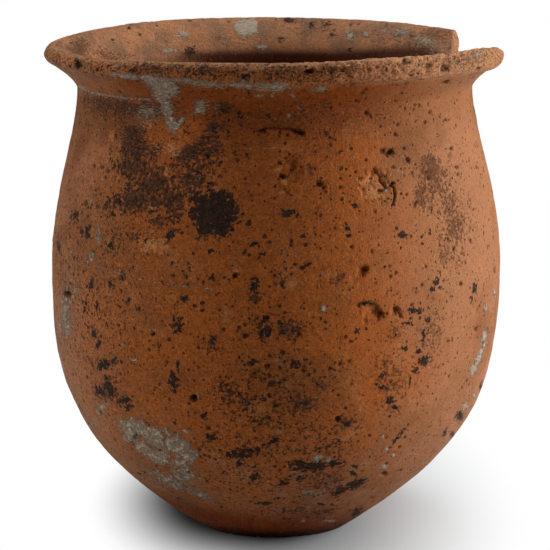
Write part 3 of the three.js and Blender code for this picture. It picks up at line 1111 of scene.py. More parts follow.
@dataclass(frozen=True)
class ClayFinish:
    """Colours and sheen of the fired clay and of what lies on it, with painted shade and highlights where
    light falls unevenly.
    """

    # The clay is paler away from the front, a painted sheen of the side lights, and darker and more
    # saturated at the front, painted shade where the light only grazes
    clay: Colour = paint(188, 126, 85)
    clay_front_shaded: Colour = paint(191, 103, 38)
    clay_dark: Colour = paint(152, 88, 42)
    clay_pale: Colour = paint(206, 140, 90)
    neck_painted_shadow: Colour = (0.62, 0.53, 0.36, 1.0)
    foot_painted_shade: Colour = (0.74, 0.38, 0.15, 1.0)
    sole_painted_shade: Colour = (0.25, 0.23, 0.22, 1.0)
    lip_dark: Colour = paint(46, 26, 15)
    lip_pale_and_highlight: Colour = paint(224, 164, 118)
    inside: Colour = paint(200, 138, 95)
    inside_grey: Colour = paint(160, 118, 88)
    inside_painted_shade: Colour = paint(82, 35, 5)
    fresh: Colour = paint(210, 136, 80)
    scorch: Colour = paint(116, 74, 48)
    scorch_dark: Colour = paint(32, 21, 15)
    soot: Colour = paint(20, 18, 19)
    speck: Colour = paint(52, 30, 18)
    sand: Colour = paint(214, 156, 104)
    lime: Colour = paint(240, 224, 200)
    lime_dim: Colour = paint(136, 104, 78)
    dust: Colour = paint(176, 146, 122)
    # Painted shade in pits, pores and holes, partly dirt
    pit: Colour = paint(44, 22, 10)
    roughness: float = 0.58
    roughness_spread: float = 0.14
    lime_roughness: float = 0.2
    sheen_level: float = 0.12
    bump: float = 0.0007
    zones: ClayZones = ClayZones()

    # Noises: scale per metre, detail and roughness
    CLOUDS = (26.0, 4.0, 0.6)
    STREAKS = (110.0, 5.0, 0.65)
    MOTTLE = (1200.0, 3.0, 0.7)
    FLAKES = (700.0, 5.0, 0.75)
    CROWDING = (45.0, 4.0, 0.6)
    # Edge of each coat: noise scale per metre, spread and softness
    EDGES = {
        Coat.SOOT: (800.0, 3.2, 0.07),
        Coat.SCORCH: (900.0, 3.8, 0.09),
        Coat.LIME: (800.0, 2.8, 0.15),
        Coat.FRESH: (420.0, 1.8, 0.15),
    }
    # How much of what is below each layer hides
    COVER = {
        "lit_crest": 0.74, "scorch_halo": 0.2, "grit": 0.4, "pores": 0.75, "specks": 0.85, "soot_halo": 0.3,
        "soot": 0.95, "lime_halo": 0.25, "lime": 0.86, "pit": 0.85,
    }
    # Fine relief that each layer adds
    RELIEF = {"pores": -0.7, "specks": -0.4, "grit": 0.2, "soot": 0.12, "lime": 0.25}

    def material(self) -> bpy.types.Material:
        """The material that every piece of the jar wears.

        Returns:
            A procedural material on Object coordinates and the pieces' own attributes.
        """
        made = bpy.data.materials.new("weathered_terracotta")
        made.use_nodes = True
        board = NodeBoard(made.node_tree)
        place = board.add("ShaderNodeTexCoord").outputs["Object"]
        grain = board.group(grain_group(), {"Place": place}).outputs
        masks = self.masks(board, place)
        colour = self.body(board, place, grain["Tone"], masks)
        colour = self.layers(board, colour, masks)
        height = self.height(board, grain["Height"], masks)
        smoothest = self.roughness - 0.5 * self.roughness_spread
        rough = board.raised(grain["Tone"], self.roughness_spread, smoothest)
        rough = board.raised(masks["lime"], self.lime_roughness, rough)
        bump = board.add("ShaderNodeBump", {"Strength": 1.0, "Distance": self.bump, "Height": height})
        shader = board.add(
            "ShaderNodeBsdfPrincipled",
            {"Base Color": colour, "Roughness": rough, "Normal": bump.outputs["Normal"],
             "Specular IOR Level": self.sheen_level},
        )
        board.add("ShaderNodeOutputMaterial", {"Surface": shader.outputs[0]})
        return made

    def masks(self, board: NodeBoard, place: Socket) -> dict[str, Socket]:
        """Where each coat, each part of the jar and each kind of speck shows.

        Args:
            board: the material's nodes.
            place: Object coordinates.

        Returns:
            The masks by name.
        """
        parts = board.add("ShaderNodeSeparateXYZ", {0: place}).outputs
        outside = board.amount("outside")
        made = self.coat_masks(board, parts)
        made.update(self.part_masks(board, parts, outside))
        made["mottle"] = board.step(board.tone(place, *self.MOTTLE), 0.52, 0.6)
        crowd = board.step(board.tone(place, *self.CROWDING), 0.4, 0.66, 0.05, 0.55)
        crowd = board.times(crowd, board.step(made["left"], 0.0, 1.0, 0.25, 1.0))
        specks = speck_group()
        # Kind of speck, cells per metre, share of the cells, greatest radius in cells
        kinds = (("specks", 640.0, crowd, 0.45), ("pores", 1000.0, 0.24, 0.42), ("grit", 950.0, 0.3, 0.38))
        fewer_inside = board.step(outside, *self.zones.outer_face, 0.35, 1.0)
        for name, scale, share, size in kinds:
            given = {"Place": place, "Scale": scale, "Share": share, "Size": size}
            made[name] = board.times(board.group(specks, given).outputs["Mask"], fewer_inside)
        return made

    def coat_masks(self, board: NodeBoard, parts: bpy.types.NodeOutputs) -> dict[str, Socket]:
        """Where each coat shows.

        Args:
            board: the material's nodes.
            parts: Object coordinates one by one.

        Returns:
            A mask and a halo for each coat, a mask of the pits, and the flaking of the crusts.
        """
        over_neck = board.math("MAXIMUM", board.math("SUBTRACT", parts["Z"], self.zones.wiped_from), 0.0)
        tall = board.raised(over_neck, self.zones.wiped_stretch, parts["Z"])
        wiped = board.add("ShaderNodeCombineXYZ", {"X": parts["X"], "Y": parts["Y"], "Z": tall}).outputs[0]
        edge = ragged_edge_group()
        made = {"pit": board.amount(Coat.PIT.value)}
        for coat, (scale, spread, softness) in self.EDGES.items():
            given = {"Place": wiped, "Amount": board.amount(coat.value), "Scale": scale,
                     "Spread": spread, "Softness": softness}
            node = board.group(edge, given)
            made[coat.value] = node.outputs["Mask"]
            made[coat.value + "_halo"] = node.outputs["Halo"]
        made["flake"] = board.step(board.tone(wiped, *self.FLAKES), 0.41, 0.59)
        return made

    def part_masks(self, board: NodeBoard, parts: bpy.types.NodeOutputs,
                   outside: Socket) -> dict[str, Socket]:
        """Where the parts of the jar are.

        Args:
            board: the material's nodes.
            parts: Object coordinates one by one.
            outside: 1 on the outer face and 0 on the inner one.

        Returns:
            A mask for each part, and how lively the grain is over the jar.
        """
        zones = self.zones
        lip_face = board.step(outside, *zones.lip_face)
        # The lip's top edge, where a highlight is painted
        lit_crest = board.times(board.step(outside, *zones.crest_inner_edge),
                            board.fall(outside, *zones.crest_outer_edge))
        dust = board.fall(parts["Z"], *zones.dust_top)
        slanted = board.raised(parts["X"], zones.foot_slant, parts["Z"])
        # How strong the grain is: higher on the left and at the front, where the light grazes; its colour
        # part is painted shading of the grain
        lively = board.step(parts["X"], *zones.left, 1.0, 0.32)
        return {
            "outside": board.step(outside, *zones.outer_face),
            "left": board.fall(parts["X"], *zones.left),
            "lively": board.times(lively, board.step(outside, *zones.outer_face, 0.6, 1.0)),
            "lip": board.times(board.step(parts["Z"], *zones.lip), lip_face),
            "lit_crest": board.times(lit_crest, board.step(parts["Z"], *zones.lit_crest)),
            "dust": board.times(dust, board.step(parts["Z"], *zones.dust_bottom, 0.2, 1.0)),
            "foot": board.fall(slanted, *zones.foot),
            "sole": board.fall(parts["Z"], *zones.sole),
        }

    def body(self, board: NodeBoard, place: Socket, tone: Socket, masks: dict[str, Socket]) -> Socket:
        """Colour of the bare clay.

        Args:
            board: the material's nodes.
            place: Object coordinates.
            tone: grain of the clay.
            masks: where each coat and part shows.

        Returns:
            The colour.
        """
        clouds = board.tone(place, *self.CLOUDS)
        streaks = board.tone(place, *self.STREAKS)
        front, neck, deep_shade = self.darker(board, place, clouds)
        # Painted shade: darker, more saturated clay at the front
        colour = board.mix(front, self.clay, self.clay_front_shaded)
        colour = board.mix(board.step(clouds, 0.45, 0.7, 0.0, 0.8), colour, self.clay_dark)
        colour = board.mix(board.step(streaks, 0.52, 0.76, 0.0, 0.5), colour, self.clay_pale)
        # Painted shadow of the lip on the neck, strongest at the front
        lip_shadow = board.times(neck, board.raised(front, 0.45, 0.55))
        colour = board.mix(lip_shadow, colour, self.neck_painted_shadow, "MULTIPLY")
        inner = board.mix(board.step(streaks, 0.4, 0.65), self.inside, self.inside_grey)
        # Painted shade inside the back below the flare
        inner = board.mix(deep_shade, inner, self.inside_painted_shade)
        colour = board.mix(masks["outside"], inner, colour)
        dusty = board.times(masks["dust"], board.step(streaks, 0.4, 0.7, 0.1, 0.42))
        colour = board.mix(dusty, colour, self.dust)
        # Painted contact shade at the foot, stronger on the left, and darkest at the sole
        foot_shade = board.times(masks["foot"], board.raised(masks["left"], 0.4, 0.6))
        colour = board.mix(foot_shade, colour, self.foot_painted_shade, "MULTIPLY")
        colour = board.mix(masks["sole"], colour, self.sole_painted_shade, "MULTIPLY")
        colour = board.mix(masks["fresh"], colour, self.fresh)
        # Grain tone, with more contrast on the left and at the front than on the right: partly painted
        # shading of the grain where the light grazes
        shade = board.raised(board.math("SUBTRACT", tone, 0.5), masks["lively"], 1.0)
        grey = board.add("ShaderNodeCombineColor", {0: shade, 1: shade, 2: shade}).outputs[0]
        return board.mix(1.0, colour, grey, "MULTIPLY")

    def darker(self, board: NodeBoard, place: Socket, clouds: Socket) -> tuple[Socket, Socket, Socket]:
        """Where shade is painted on the clay: the front, the hollow of the neck under the lip, and the
        inside of the back below the flare.

        Args:
            board: the material's nodes.
            place: Object coordinates.
            clouds: a slow noise that makes the borders uneven.

        Returns:
            A mask of the painted shade on the front, one of the painted shadow on the neck under the lip,
            and one of the painted shade inside the back below the flare.
        """
        zones = self.zones
        parts = board.add("ShaderNodeSeparateXYZ", {0: place}).outputs
        # Painted shade at the front, where the side lights only graze
        uneven = board.times(board.math("SUBTRACT", clouds, 0.5), zones.border_uneven)
        aside = board.math("MAXIMUM", parts["X"], board.times(parts["X"], zones.front_left))
        middle = board.fall(board.math("ADD", aside, uneven), *zones.front_sides)
        front = board.times(middle, board.fall(parts["Y"], *zones.front_back))
        # Painted shadow of the lip on the neck
        above = board.math("ADD", parts["Z"], uneven)
        neck = board.times(board.step(above, *zones.neck_bottom), board.fall(above, *zones.neck_top))
        # Painted shade inside the back below the flare, reaching higher to the right
        right = board.math("MAXIMUM", board.math("SUBTRACT", parts["X"], zones.deep_slant_from), 0.0)
        slanted = board.math("SUBTRACT", parts["Z"], board.times(right, zones.deep_slant))
        deep_shade = board.times(
            board.fall(slanted, *zones.deep_top),
            board.step(parts["X"], *zones.deep_left),
            board.fall(parts["X"], *zones.deep_right),
            board.step(parts["Y"], *zones.deep_front),
            board.step(parts["Z"], *zones.deep_bottom),
        )
        return front, neck, deep_shade

    def layers(self, board: NodeBoard, colour: Socket, masks: dict[str, Socket]) -> Socket:
        """Colour of the clay with everything that lies on it.

        Args:
            board: the material's nodes.
            colour: colour of the bare clay.
            masks: where each coat and part shows.

        Returns:
            The colour.
        """
        cover = {name: board.times(masks[name], share) for name, share in self.COVER.items()}
        paler = board.times(masks["lip"], board.raised(masks["left"], -0.42, 0.55))
        colour = board.mix(paler, colour, self.lip_pale_and_highlight)
        # Painted highlight along the lip's top edge
        colour = board.mix(cover["lit_crest"], colour, self.lip_pale_and_highlight)
        speckled = board.times(
            masks["lip"],
            masks["mottle"],
            board.raised(masks["left"], 0.58, 0.34),
            board.raised(masks["lit_crest"], -0.55, 1.0),
        )
        colour = board.mix(speckled, colour, self.lip_dark)
        colour = board.mix(cover["scorch_halo"], colour, self.scorch)
        burnt = board.mix(masks["flake"], self.scorch_dark, self.scorch)
        dense = board.times(masks["scorch"], board.raised(masks["lively"], 0.6, 0.3))
        colour = board.mix(dense, colour, burnt)
        colour = board.mix(cover["grit"], colour, self.sand)
        colour = board.mix(cover["pores"], colour, self.pit)
        colour = board.mix(cover["specks"], colour, self.speck)
        colour = board.mix(cover["soot_halo"], colour, self.scorch)
        charred = board.mix(board.times(masks["flake"], 0.28), self.soot, self.scorch)
        colour = board.mix(cover["soot"], colour, charred)
        thick = board.raised(board.times(masks["left"], masks["outside"]), -0.6, 0.85)
        crust = board.mix(board.raised(masks["flake"], 0.75, thick), self.lime_dim, self.lime)
        colour = board.mix(cover["lime_halo"], colour, self.lime_dim)
        colour = board.mix(cover["lime"], colour, crust)
        return board.mix(cover["pit"], colour, self.pit)

    def height(self, board: NodeBoard, grain: Socket, masks: dict[str, Socket]) -> Socket:
        """Fine relief of the surface.

        Args:
            board: the material's nodes.
            grain: height of the clay's grain.
            masks: where each coat and part shows.

        Returns:
            The height.
        """
        height = board.times(grain, masks["lively"], 0.8)
        for name, rise in self.RELIEF.items():
            height = board.raised(masks[name], rise, height)
        crusty = board.math("ADD", masks["lime"], board.times(masks["scorch"], 0.5))
        height = board.raised(board.times(crusty, masks["flake"]), 0.7, height)
        return board.raised(board.times(masks["lip"], masks["mottle"]), -0.5, height)


@dataclass
class Turned:
    """Points of a cross-section turned about the axis.

    Rows are the points' rows of the section, and columns their steps round the jar.
    """

    section: Section
    rows: np.ndarray
    columns: np.ndarray
    points: np.ndarray = field(init=False)
    normals: np.ndarray = field(init=False)

    def __post_init__(self) -> None:
        """Places the points on circles round the axis."""
        around = self.columns * math.tau / COLUMNS
        out = np.column_stack((np.cos(around), np.sin(around)))
        line = self.section.line[self.rows]
        facing = self.section.facing[self.rows]
        self.points = np.column_stack((out * line[:, :1], line[:, 1]))
        self.normals = np.column_stack((out * facing[:, :1], facing[:, 1]))


@dataclass
class ClayPiece:
    """One piece of clay, turned about the jar's axis and then weathered."""

    name: str
    shape: JarShape
    # Bands of the flat layout, and the margins at their sides and ends
    bands: int = 3
    band_side: float = 0.01
    band_end: float = 0.02
    sharp_angle: float = math.radians(55.0)

    # The jar leans a little: sideways shift in millimetres by height in millimetres
    LEAN = (
        (0, -0.5), (12, -0.45), (22, -0.24), (31, -0.2), (42, 0.18), (52, 0.02), (63, 0.0), (80, 0.4),
        (115, 0.4), (130, 0.2), (145, -0.1), (152, -0.3), (158, -0.45),
    )

    def section(self) -> Section:
        """The piece's cross-section."""
        raise NotImplementedError

    def wear(self, turned: Turned) -> dict[Coat, np.ndarray]:
        """Moves points where the piece isn't round, and gives the coats that this lays bare."""
        return {}

    def build(self, sight: Sight, weather: Weather) -> bpy.types.Object:
        """Makes the piece.

        Args:
            sight: the photograph's viewpoint.
            weather: what has happened to the clay.

        Returns:
            The finished object.
        """
        section = self.section()
        mesh = self.spin(section)
        turned = self.place(mesh, section)
        bared = self.wear(turned)
        heights, shifts = np.array(self.LEAN, dtype=float).T * MM
        turned.points[:, 0] += np.interp(turned.points[:, 2], heights, shifts)
        skin = Skin(turned.points, turned.normals, section.outside[turned.rows], sight)
        for kind, amount in bared.items():
            skin.coat(kind, amount)
        weather.apply(skin)
        self.settle(mesh, skin)
        self.crease(mesh, turned)
        self.unwrap(mesh, turned)
        piece = bpy.data.objects.new(self.name + "_clay", mesh)
        bpy.context.scene.collection.objects.link(piece)
        return piece

    def spin(self, section: Section) -> bpy.types.Mesh:
        """Turns the cross-section about the axis.

        Args:
            section: the cross-section.

        Returns:
            A closed mesh whose points know their row of the section.
        """
        shell = bmesh.new()
        row_layer = shell.verts.layers.float.new("row")
        outline = []
        for row, (radius, height) in enumerate(section.line):
            vertex = shell.verts.new((radius, 0.0, height))
            vertex[row_layer] = row
            outline.append(vertex)
        edges = [shell.edges.new(pair) for pair in zip(outline, outline[1:])]
        if section.closed:
            edges.append(shell.edges.new((outline[-1], outline[0])))
        turn = math.tau / SECTORS
        bmesh.ops.spin(
            shell, geom=outline + edges, cent=(0, 0, 0), axis=(0, 0, 1), dvec=(0, 0, 0), angle=turn,
            steps=COLUMNS // SECTORS, use_merge=False, use_duplicate=False,
        )
        for _doubling in range(int(math.log2(SECTORS))):
            copy = bmesh.ops.duplicate(shell, geom=shell.verts[:] + shell.edges[:] + shell.faces[:])
            moved = [item for item in copy["geom"] if isinstance(item, bmesh.types.BMVert)]
            bmesh.ops.rotate(shell, cent=(0, 0, 0), matrix=Matrix.Rotation(turn, 3, "Z"), verts=moved)
            turn *= 2.0
        bmesh.ops.remove_doubles(shell, verts=shell.verts, dist=SAME_PLACE)
        bmesh.ops.recalc_face_normals(shell, faces=shell.faces)
        mesh = bpy.data.meshes.new(self.name + "_clay")
        shell.to_mesh(mesh)
        shell.free()
        return mesh

    def place(self, mesh: bpy.types.Mesh, section: Section) -> Turned:
        """Finds the row and column of every vertex.

        Args:
            mesh: mesh of the piece, as it was spun.
            section: the cross-section.

        Returns:
            The vertices, with their exact places.
        """
        count = len(mesh.vertices)
        rows = np.empty(count, np.float32)
        mesh.attributes["row"].data.foreach_get("value", rows)
        places = np.empty(count * 3, np.float32)
        mesh.vertices.foreach_get("co", places)
        places = places.reshape(-1, 3)
        angles = np.arctan2(places[:, 1], places[:, 0])
        columns = np.rint(angles * COLUMNS / math.tau).astype(int) % COLUMNS
        return Turned(section, np.rint(rows).astype(int), columns)

    def settle(self, mesh: bpy.types.Mesh, skin: Skin) -> None:
        """Writes the weathered surface to the mesh.

        Args:
            mesh: mesh of the piece.
            skin: its weathered surface.
        """
        mesh.vertices.foreach_set("co", skin.points.astype(np.float32).ravel())
        amounts = {coat.value: amount for coat, amount in skin.coats.items()}
        amounts["outside"] = skin.outside
        for name, amount in amounts.items():
            layer = mesh.attributes.new(name, "FLOAT", "POINT")
            layer.data.foreach_set("value", amount.astype(np.float32))
        mesh.attributes.remove(mesh.attributes["row"])
        mesh.shade_smooth()
        mesh.update()

    def crease(self, mesh: bpy.types.Mesh, turned: Turned) -> None:
        """Keeps the edges sharp where the faces meet the joints, and on broken edges.

        Args:
            mesh: mesh of the piece.
            turned: its vertices by row and column.
        """
        mesh.set_sharp_from_angle(angle=self.sharp_angle)
        sharp = np.empty(len(mesh.edges), bool)
        mesh.edges.foreach_get("use_edge_sharp", sharp)
        ends = np.empty(len(mesh.edges) * 2, np.int32)
        mesh.edges.foreach_get("vertices", ends)
        ends = turned.rows[ends.reshape(-1, 2)]
        sharp |= (ends[:, 0] == ends[:, 1]) & np.isin(ends[:, 0], turned.section.creases)
        mesh.edges.foreach_set("use_edge_sharp", sharp)

    def unwrap(self, mesh: bpy.types.Mesh, turned: Turned) -> None:
        """Lays the surface out flat in bands, one above the other.

        Args:
            mesh: mesh of the piece.
            turned: its vertices by row and column.
        """
        section = turned.section
        corners = np.empty(len(mesh.loops), np.int32)
        mesh.loops.foreach_get("vertex_index", corners)
        starts = np.empty(len(mesh.polygons), np.int32)
        mesh.polygons.foreach_get("loop_start", starts)
        totals = np.empty(len(mesh.polygons), np.int32)
        mesh.polygons.foreach_get("loop_total", totals)
        column = turned.columns[corners]
        row = turned.rows[corners]
        at_pole = section.line[row, 0] < SAME_PLACE
        last_column = np.repeat(np.maximum.reduceat(np.where(at_pole, -1, column), starts), totals)
        last_row = np.repeat(np.maximum.reduceat(row, starts), totals)
        column = np.where(at_pole, last_column, column)
        column = np.where((last_column == COLUMNS - 1) & (column == 0), COLUMNS, column)
        count = len(section.line)
        row = np.where((last_row == count - 1) & (row == 0) & section.closed, count, row)
        first_column = np.repeat(np.minimum.reduceat(column, starts), totals)
        per_band = COLUMNS / self.bands
        band = np.minimum(first_column // per_band, self.bands - 1)
        along = (column - band * per_band) / per_band
        across = self.band_side + (1.0 - 2.0 * self.band_side) * along
        up = (band + self.band_end + (1.0 - 2.0 * self.band_end) * section.run()[row]) / self.bands
        layer = mesh.uv_layers.new(name="OFBake")
        layer.uv.foreach_set("vector", np.column_stack((across, up)).astype(np.float32).ravel())

    def dress(self, piece: bpy.types.Object, material: bpy.types.Material) -> None:
        """Gives the piece its material and its place in the frame.

        Args:
            piece: object of the piece.
            material: the clay.
        """
        piece.data.materials.append(material)
        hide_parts(self.name)
        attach(piece, "root")
        LOG.info("%s: %d faces", piece.name, len(piece.data.polygons))


@dataclass
class BaseSlab(ClayPiece):
    """Flat round slab the jar stands on, with the start of the wall and a dished floor."""

    joint_height: float = 8.0 * MM
    floor_height: float = 9.0 * MM
    floor_curve: float = 7.0 * MM
    floor_rows: int = 26
    underside_step: float = 1.2 * MM

    def section(self) -> Section:
        """The slab's cross-section.

        Returns:
            Underside from the middle out, wall, tongue, and floor back to the middle.
        """
        foot = self.shape.foot[0]
        radii = np.linspace(0.0, foot, math.ceil(foot / self.underside_step) + 1)[:-1]
        under = np.column_stack((radii, np.zeros(len(radii))))
        down = np.tile((0.0, -1.0), (len(radii), 1))
        wall = self.shape.outer_face(0.0, self.joint_height)
        point, out = self.shape.at(np.array((self.joint_height,)))
        edge = tuple(point[0] - self.shape.wall * out[0])
        handle = (edge[0] - self.floor_curve, self.floor_height)
        flat = (handle[0] * 0.5, self.floor_height)
        line = bend(edge, handle, flat, (0.0, self.floor_height), self.floor_rows)
        floor = Section(line, look_out(line), np.zeros(len(line)), creases=(0,))
        return join(
            Section(under, down, np.ones(len(radii))),
            wall,
            self.shape.joint(self.joint_height, True),
            floor,
            closed=False,
        )


@dataclass
class WallRing(ClayPiece):
    """One ring of clay in the wall, with a groove below and a tongue above."""

    low: float = 0.0
    high: float = 0.0
    inner_step: float = 2.2 * MM

    def section(self) -> Section:
        """Outer face up, tongue, inner face down, groove."""
        return join(
            self.shape.outer_face(self.low, self.high),
            self.shape.joint(self.high, True),
            self.shape.inner_face(self.low, self.high, self.inner_step),
            self.shape.joint(self.low, False),
        )


@dataclass
class RimRing(ClayPiece):
    """Flared rim, with a piece of the lip broken away at the back right."""

    flare_start: float = 2.2 * MM
    flare_handle: Pair = (3.4 * MM, 5.2 * MM)
    corner_start: Pair = (72.8 * MM, 154.6 * MM)
    corner_handles: tuple[Pair, Pair] = ((73.9 * MM, 155.0 * MM), (74.6 * MM, 155.6 * MM))
    corner_end: Pair = (74.9 * MM, 156.6 * MM)
    lip_handles: tuple[Pair, Pair] = ((75.35 * MM, 158.4 * MM), (74.5 * MM, 161.3 * MM))
    lip_top: Pair = (71.7 * MM, 161.5 * MM)
    lip_top_handle: Pair = (68.9 * MM, 161.5 * MM)
    throat_height: float = 155.0 * MM
    lip_roughness: float = 0.2 * MM
    chipped_roughness: float = 0.5 * MM
    chip_size: float = 2.2 * MM
    highest_bump: float = 0.2
    pore_size: float = 1.1 * MM
    snap_turn: float = math.radians(-13.0)
    snap_fresh: float = 0.36
    snap_roughness: float = 0.3 * MM
    snap_grain: float = 4.0 * MM
    sag: float = 1.0 * MM
    sag_turn: float = math.radians(3.0)
    chipped_turn: float = math.radians(40.0)
    rounding: float = 1.2 * MM
    rounding_start: float = 72.6 * MM
    rounding_width: float = 2.8 * MM
    dip: float = 1.2 * MM
    dip_start: float = 72.5 * MM
    dip_width: float = 4.0 * MM

    # Rows of the underside, of its corner, of the end of the lip and of the inside
    ROWS = (26, 7, 22, 24)
    # Value of outside over the end of the lip, and over the inside of the flare, where it stops at 0
    LIP_OUTSIDE = (1.0, 0.6)
    FLARE_OUTSIDE = (0.5, -1.0)
    # Value of outside above which a row counts as the outer face, and over which the lip starts
    OUTER_FACE = 0.55
    LIP_FACE = (0.3, 0.6)
    # Heights over which the rise and fall, the sag, the roughness and the wear of the lip set in
    UNEVEN_OUTSIDE = (155.5 * MM, 160.0 * MM)
    UNEVEN_INSIDE = (149.0 * MM, 160.0 * MM)
    SAGGING = (152.9 * MM, 154.8 * MM)
    ROUGH = (155.0 * MM, 157.5 * MM)
    WORN_EDGE = (158.0 * MM, 161.0 * MM)
    # Cosines of the angle from the middle of the sag and of the chipped part, over which they set in
    SAG_WIDTH = (0.86, 0.99)
    CHIPPED_WIDTH = (0.55, 0.85)
    # How clean the worn edge is, partly a painted highlight on the lip's top edge, how pitted the lip is,
    # and how much the chipped part adds to each
    WORN_CLEAN_AND_LIT = (0.66, 0.04)
    PITTED = (0.8, -0.3)
    # Depth of the noise over which a pore sets in
    PORES = (0.35, 0.7)
    # Rise and fall of the lip in millimetres by azimuth in degrees
    UNEVEN = (
        (-180, -1.3), (-138, -1.4), (-122, -0.9), (-109, -0.35), (-90, 0.0), (-65, 0.4), (-40, 0.2),
        (0, 0.0), (33, -0.8), (53, -0.2), (90, 0.3), (111, 0.5), (130, 0.25), (142, -0.5), (160, -1.2),
        (180, -1.3),
    )
    # Height that is left of the lip by azimuth in degrees, where it is worn down
    WORN = (
        (-30, 163.5), (-24, 161.7), (-19, 161.2), (-12, 160.3), (-4, 158.8), (4, 157.0), (12, 155.0),
        (20, 154.1), (29, 153.7), (60, 153.5),
    )
    # Height that is left by distance outwards, behind the axis, where it snapped off steeply
    SNAPPED = ((50.4, 163.5), (51.2, 161.0), (52.2, 157.5), (53.0, 153.5))

    def section(self) -> Section:
        """The rim's cross-section.

        Returns:
            Underside of the flare, lip, inside of the flare, and groove over the neck.
        """
        neck = self.shape.neck
        _point, out = self.shape.at(np.array((neck[1],)))
        neck_inside = (neck[0] - self.shape.wall * out[0, 0], neck[1] - self.shape.wall * out[0, 1])
        rising = (neck[0], neck[1] + self.flare_start)
        flaring = (neck[0] + self.flare_handle[0], neck[1] + self.flare_handle[1])
        throat = (neck_inside[0], self.throat_height)
        under = bend(neck, rising, flaring, self.corner_start, self.ROWS[0])
        corner = bend(self.corner_start, *self.corner_handles, self.corner_end, self.ROWS[1])
        end = bend(self.corner_end, *self.lip_handles, self.lip_top, self.ROWS[2])
        inside = bend(self.lip_top, self.lip_top_handle, throat, neck_inside, self.ROWS[3])
        line = np.vstack((under, corner[1:], end[1:], inside[1:]))
        outer = np.concatenate((
            np.ones(len(under) + len(corner) - 1),
            np.linspace(*self.LIP_OUTSIDE, len(end))[1:],
            np.clip(np.linspace(*self.FLARE_OUTSIDE, len(inside)), 0.0, 1.0)[1:],
        ))
        whole = Section(line, look_out(line), outer, creases=(0, len(line) - 1))
        return join(whole, self.shape.joint(neck[1], False))

    def left_standing(self, across: np.ndarray, back: np.ndarray) -> np.ndarray:
        """Height that is left of the lip over places of its plan.

        Args:
            across: distances to the right of the axis.
            back: distances behind the axis.

        Returns:
            The heights, above the lip where it is whole.
        """
        azimuths, heights = np.array(self.WORN, dtype=float).T
        worn = np.interp(np.degrees(np.arctan2(back, across)), azimuths, heights) * MM
        radius = np.hypot(across, back)
        rounded = np.clip((radius - self.rounding_start) / self.rounding_width, 0.0, 1.0)
        inwards = np.clip((self.dip_start - radius) / self.dip_width, 0.0, 1.0)
        worn = worn - self.rounding * rounded**2 - self.dip * inwards
        distances, heights = np.array(self.SNAPPED, dtype=float).T
        outwards = across * math.cos(self.snap_turn) + back * math.sin(self.snap_turn)
        snapped = np.interp(outwards, distances * MM, heights) * MM
        left = np.where(back > 0.0, np.maximum(worn, snapped), worn)
        plan = np.column_stack((across.ravel(), back.ravel(), np.zeros(across.size)))
        ragged = cloudy(plan / self.snap_grain, 3)
        return left + self.snap_roughness * ragged.reshape(across.shape)

    def lifted(self, section: Section) -> np.ndarray:
        """Heights of the section at every step round the jar, with the lip's rise and fall.

        Args:
            section: the cross-section.

        Returns:
            Steps round the jar by rows of the section.
        """
        azimuths, rises = np.array(self.UNEVEN, dtype=float).T
        around = np.arange(COLUMNS) * 360.0 / COLUMNS
        lift = np.interp(around, azimuths, rises, period=360.0) * MM
        level = section.line[:, 1]
        outer = section.outside > self.OUTER_FACE
        moved = np.where(outer, smooth(level, *self.UNEVEN_OUTSIDE), smooth(level, *self.UNEVEN_INSIDE))
        drop = self.sag * smooth(np.cos(np.radians(around) + self.sag_turn), *self.SAG_WIDTH)
        return level + np.outer(lift, moved) - np.outer(drop, smooth(level, *self.SAGGING) * outer)

    def wear(self, turned: Turned) -> dict[Coat, np.ndarray]:
        """Breaks and wears the lip.

        Args:
            turned: the vertices, moved here.

        Returns:
            How freshly broken or worn and how pitted the clay is at each vertex.
        """
        section = turned.section
        points = turned.points
        heights = self.lifted(section)
        points[:, 2] = heights[turned.columns, turned.rows]
        level = section.line[turned.rows, 1]
        lip_face = smooth(section.outside[turned.rows], *self.LIP_FACE)
        lip = smooth(level, *self.ROUGH) * lip_face
        around = turned.columns * math.tau / COLUMNS
        chipped = smooth(np.cos(around + self.chipped_turn), *self.CHIPPED_WIDTH)
        rough = lip * (self.lip_roughness + self.chipped_roughness * chipped)
        bumps = cloudy(points / self.chip_size + 3.0, 3, 0.7)
        points += turned.normals * (rough * np.minimum(bumps, self.highest_bump))[:, None]
        broken = self.snap(turned, heights)
        # Fresh clay on the worn top edge, made brighter as a painted highlight too
        edge = smooth(level, *self.WORN_EDGE) * lip_face
        worn = np.maximum(broken, (self.WORN_CLEAN_AND_LIT[0] + self.WORN_CLEAN_AND_LIT[1] * chipped) * edge)
        pores = smooth(-cloudy(points / self.pore_size + 7.0, 2, 0.7), *self.PORES)
        pitted = pores * lip * (self.PITTED[0] + self.PITTED[1] * chipped)
        return {Coat.FRESH: worn, Coat.PIT: pitted}

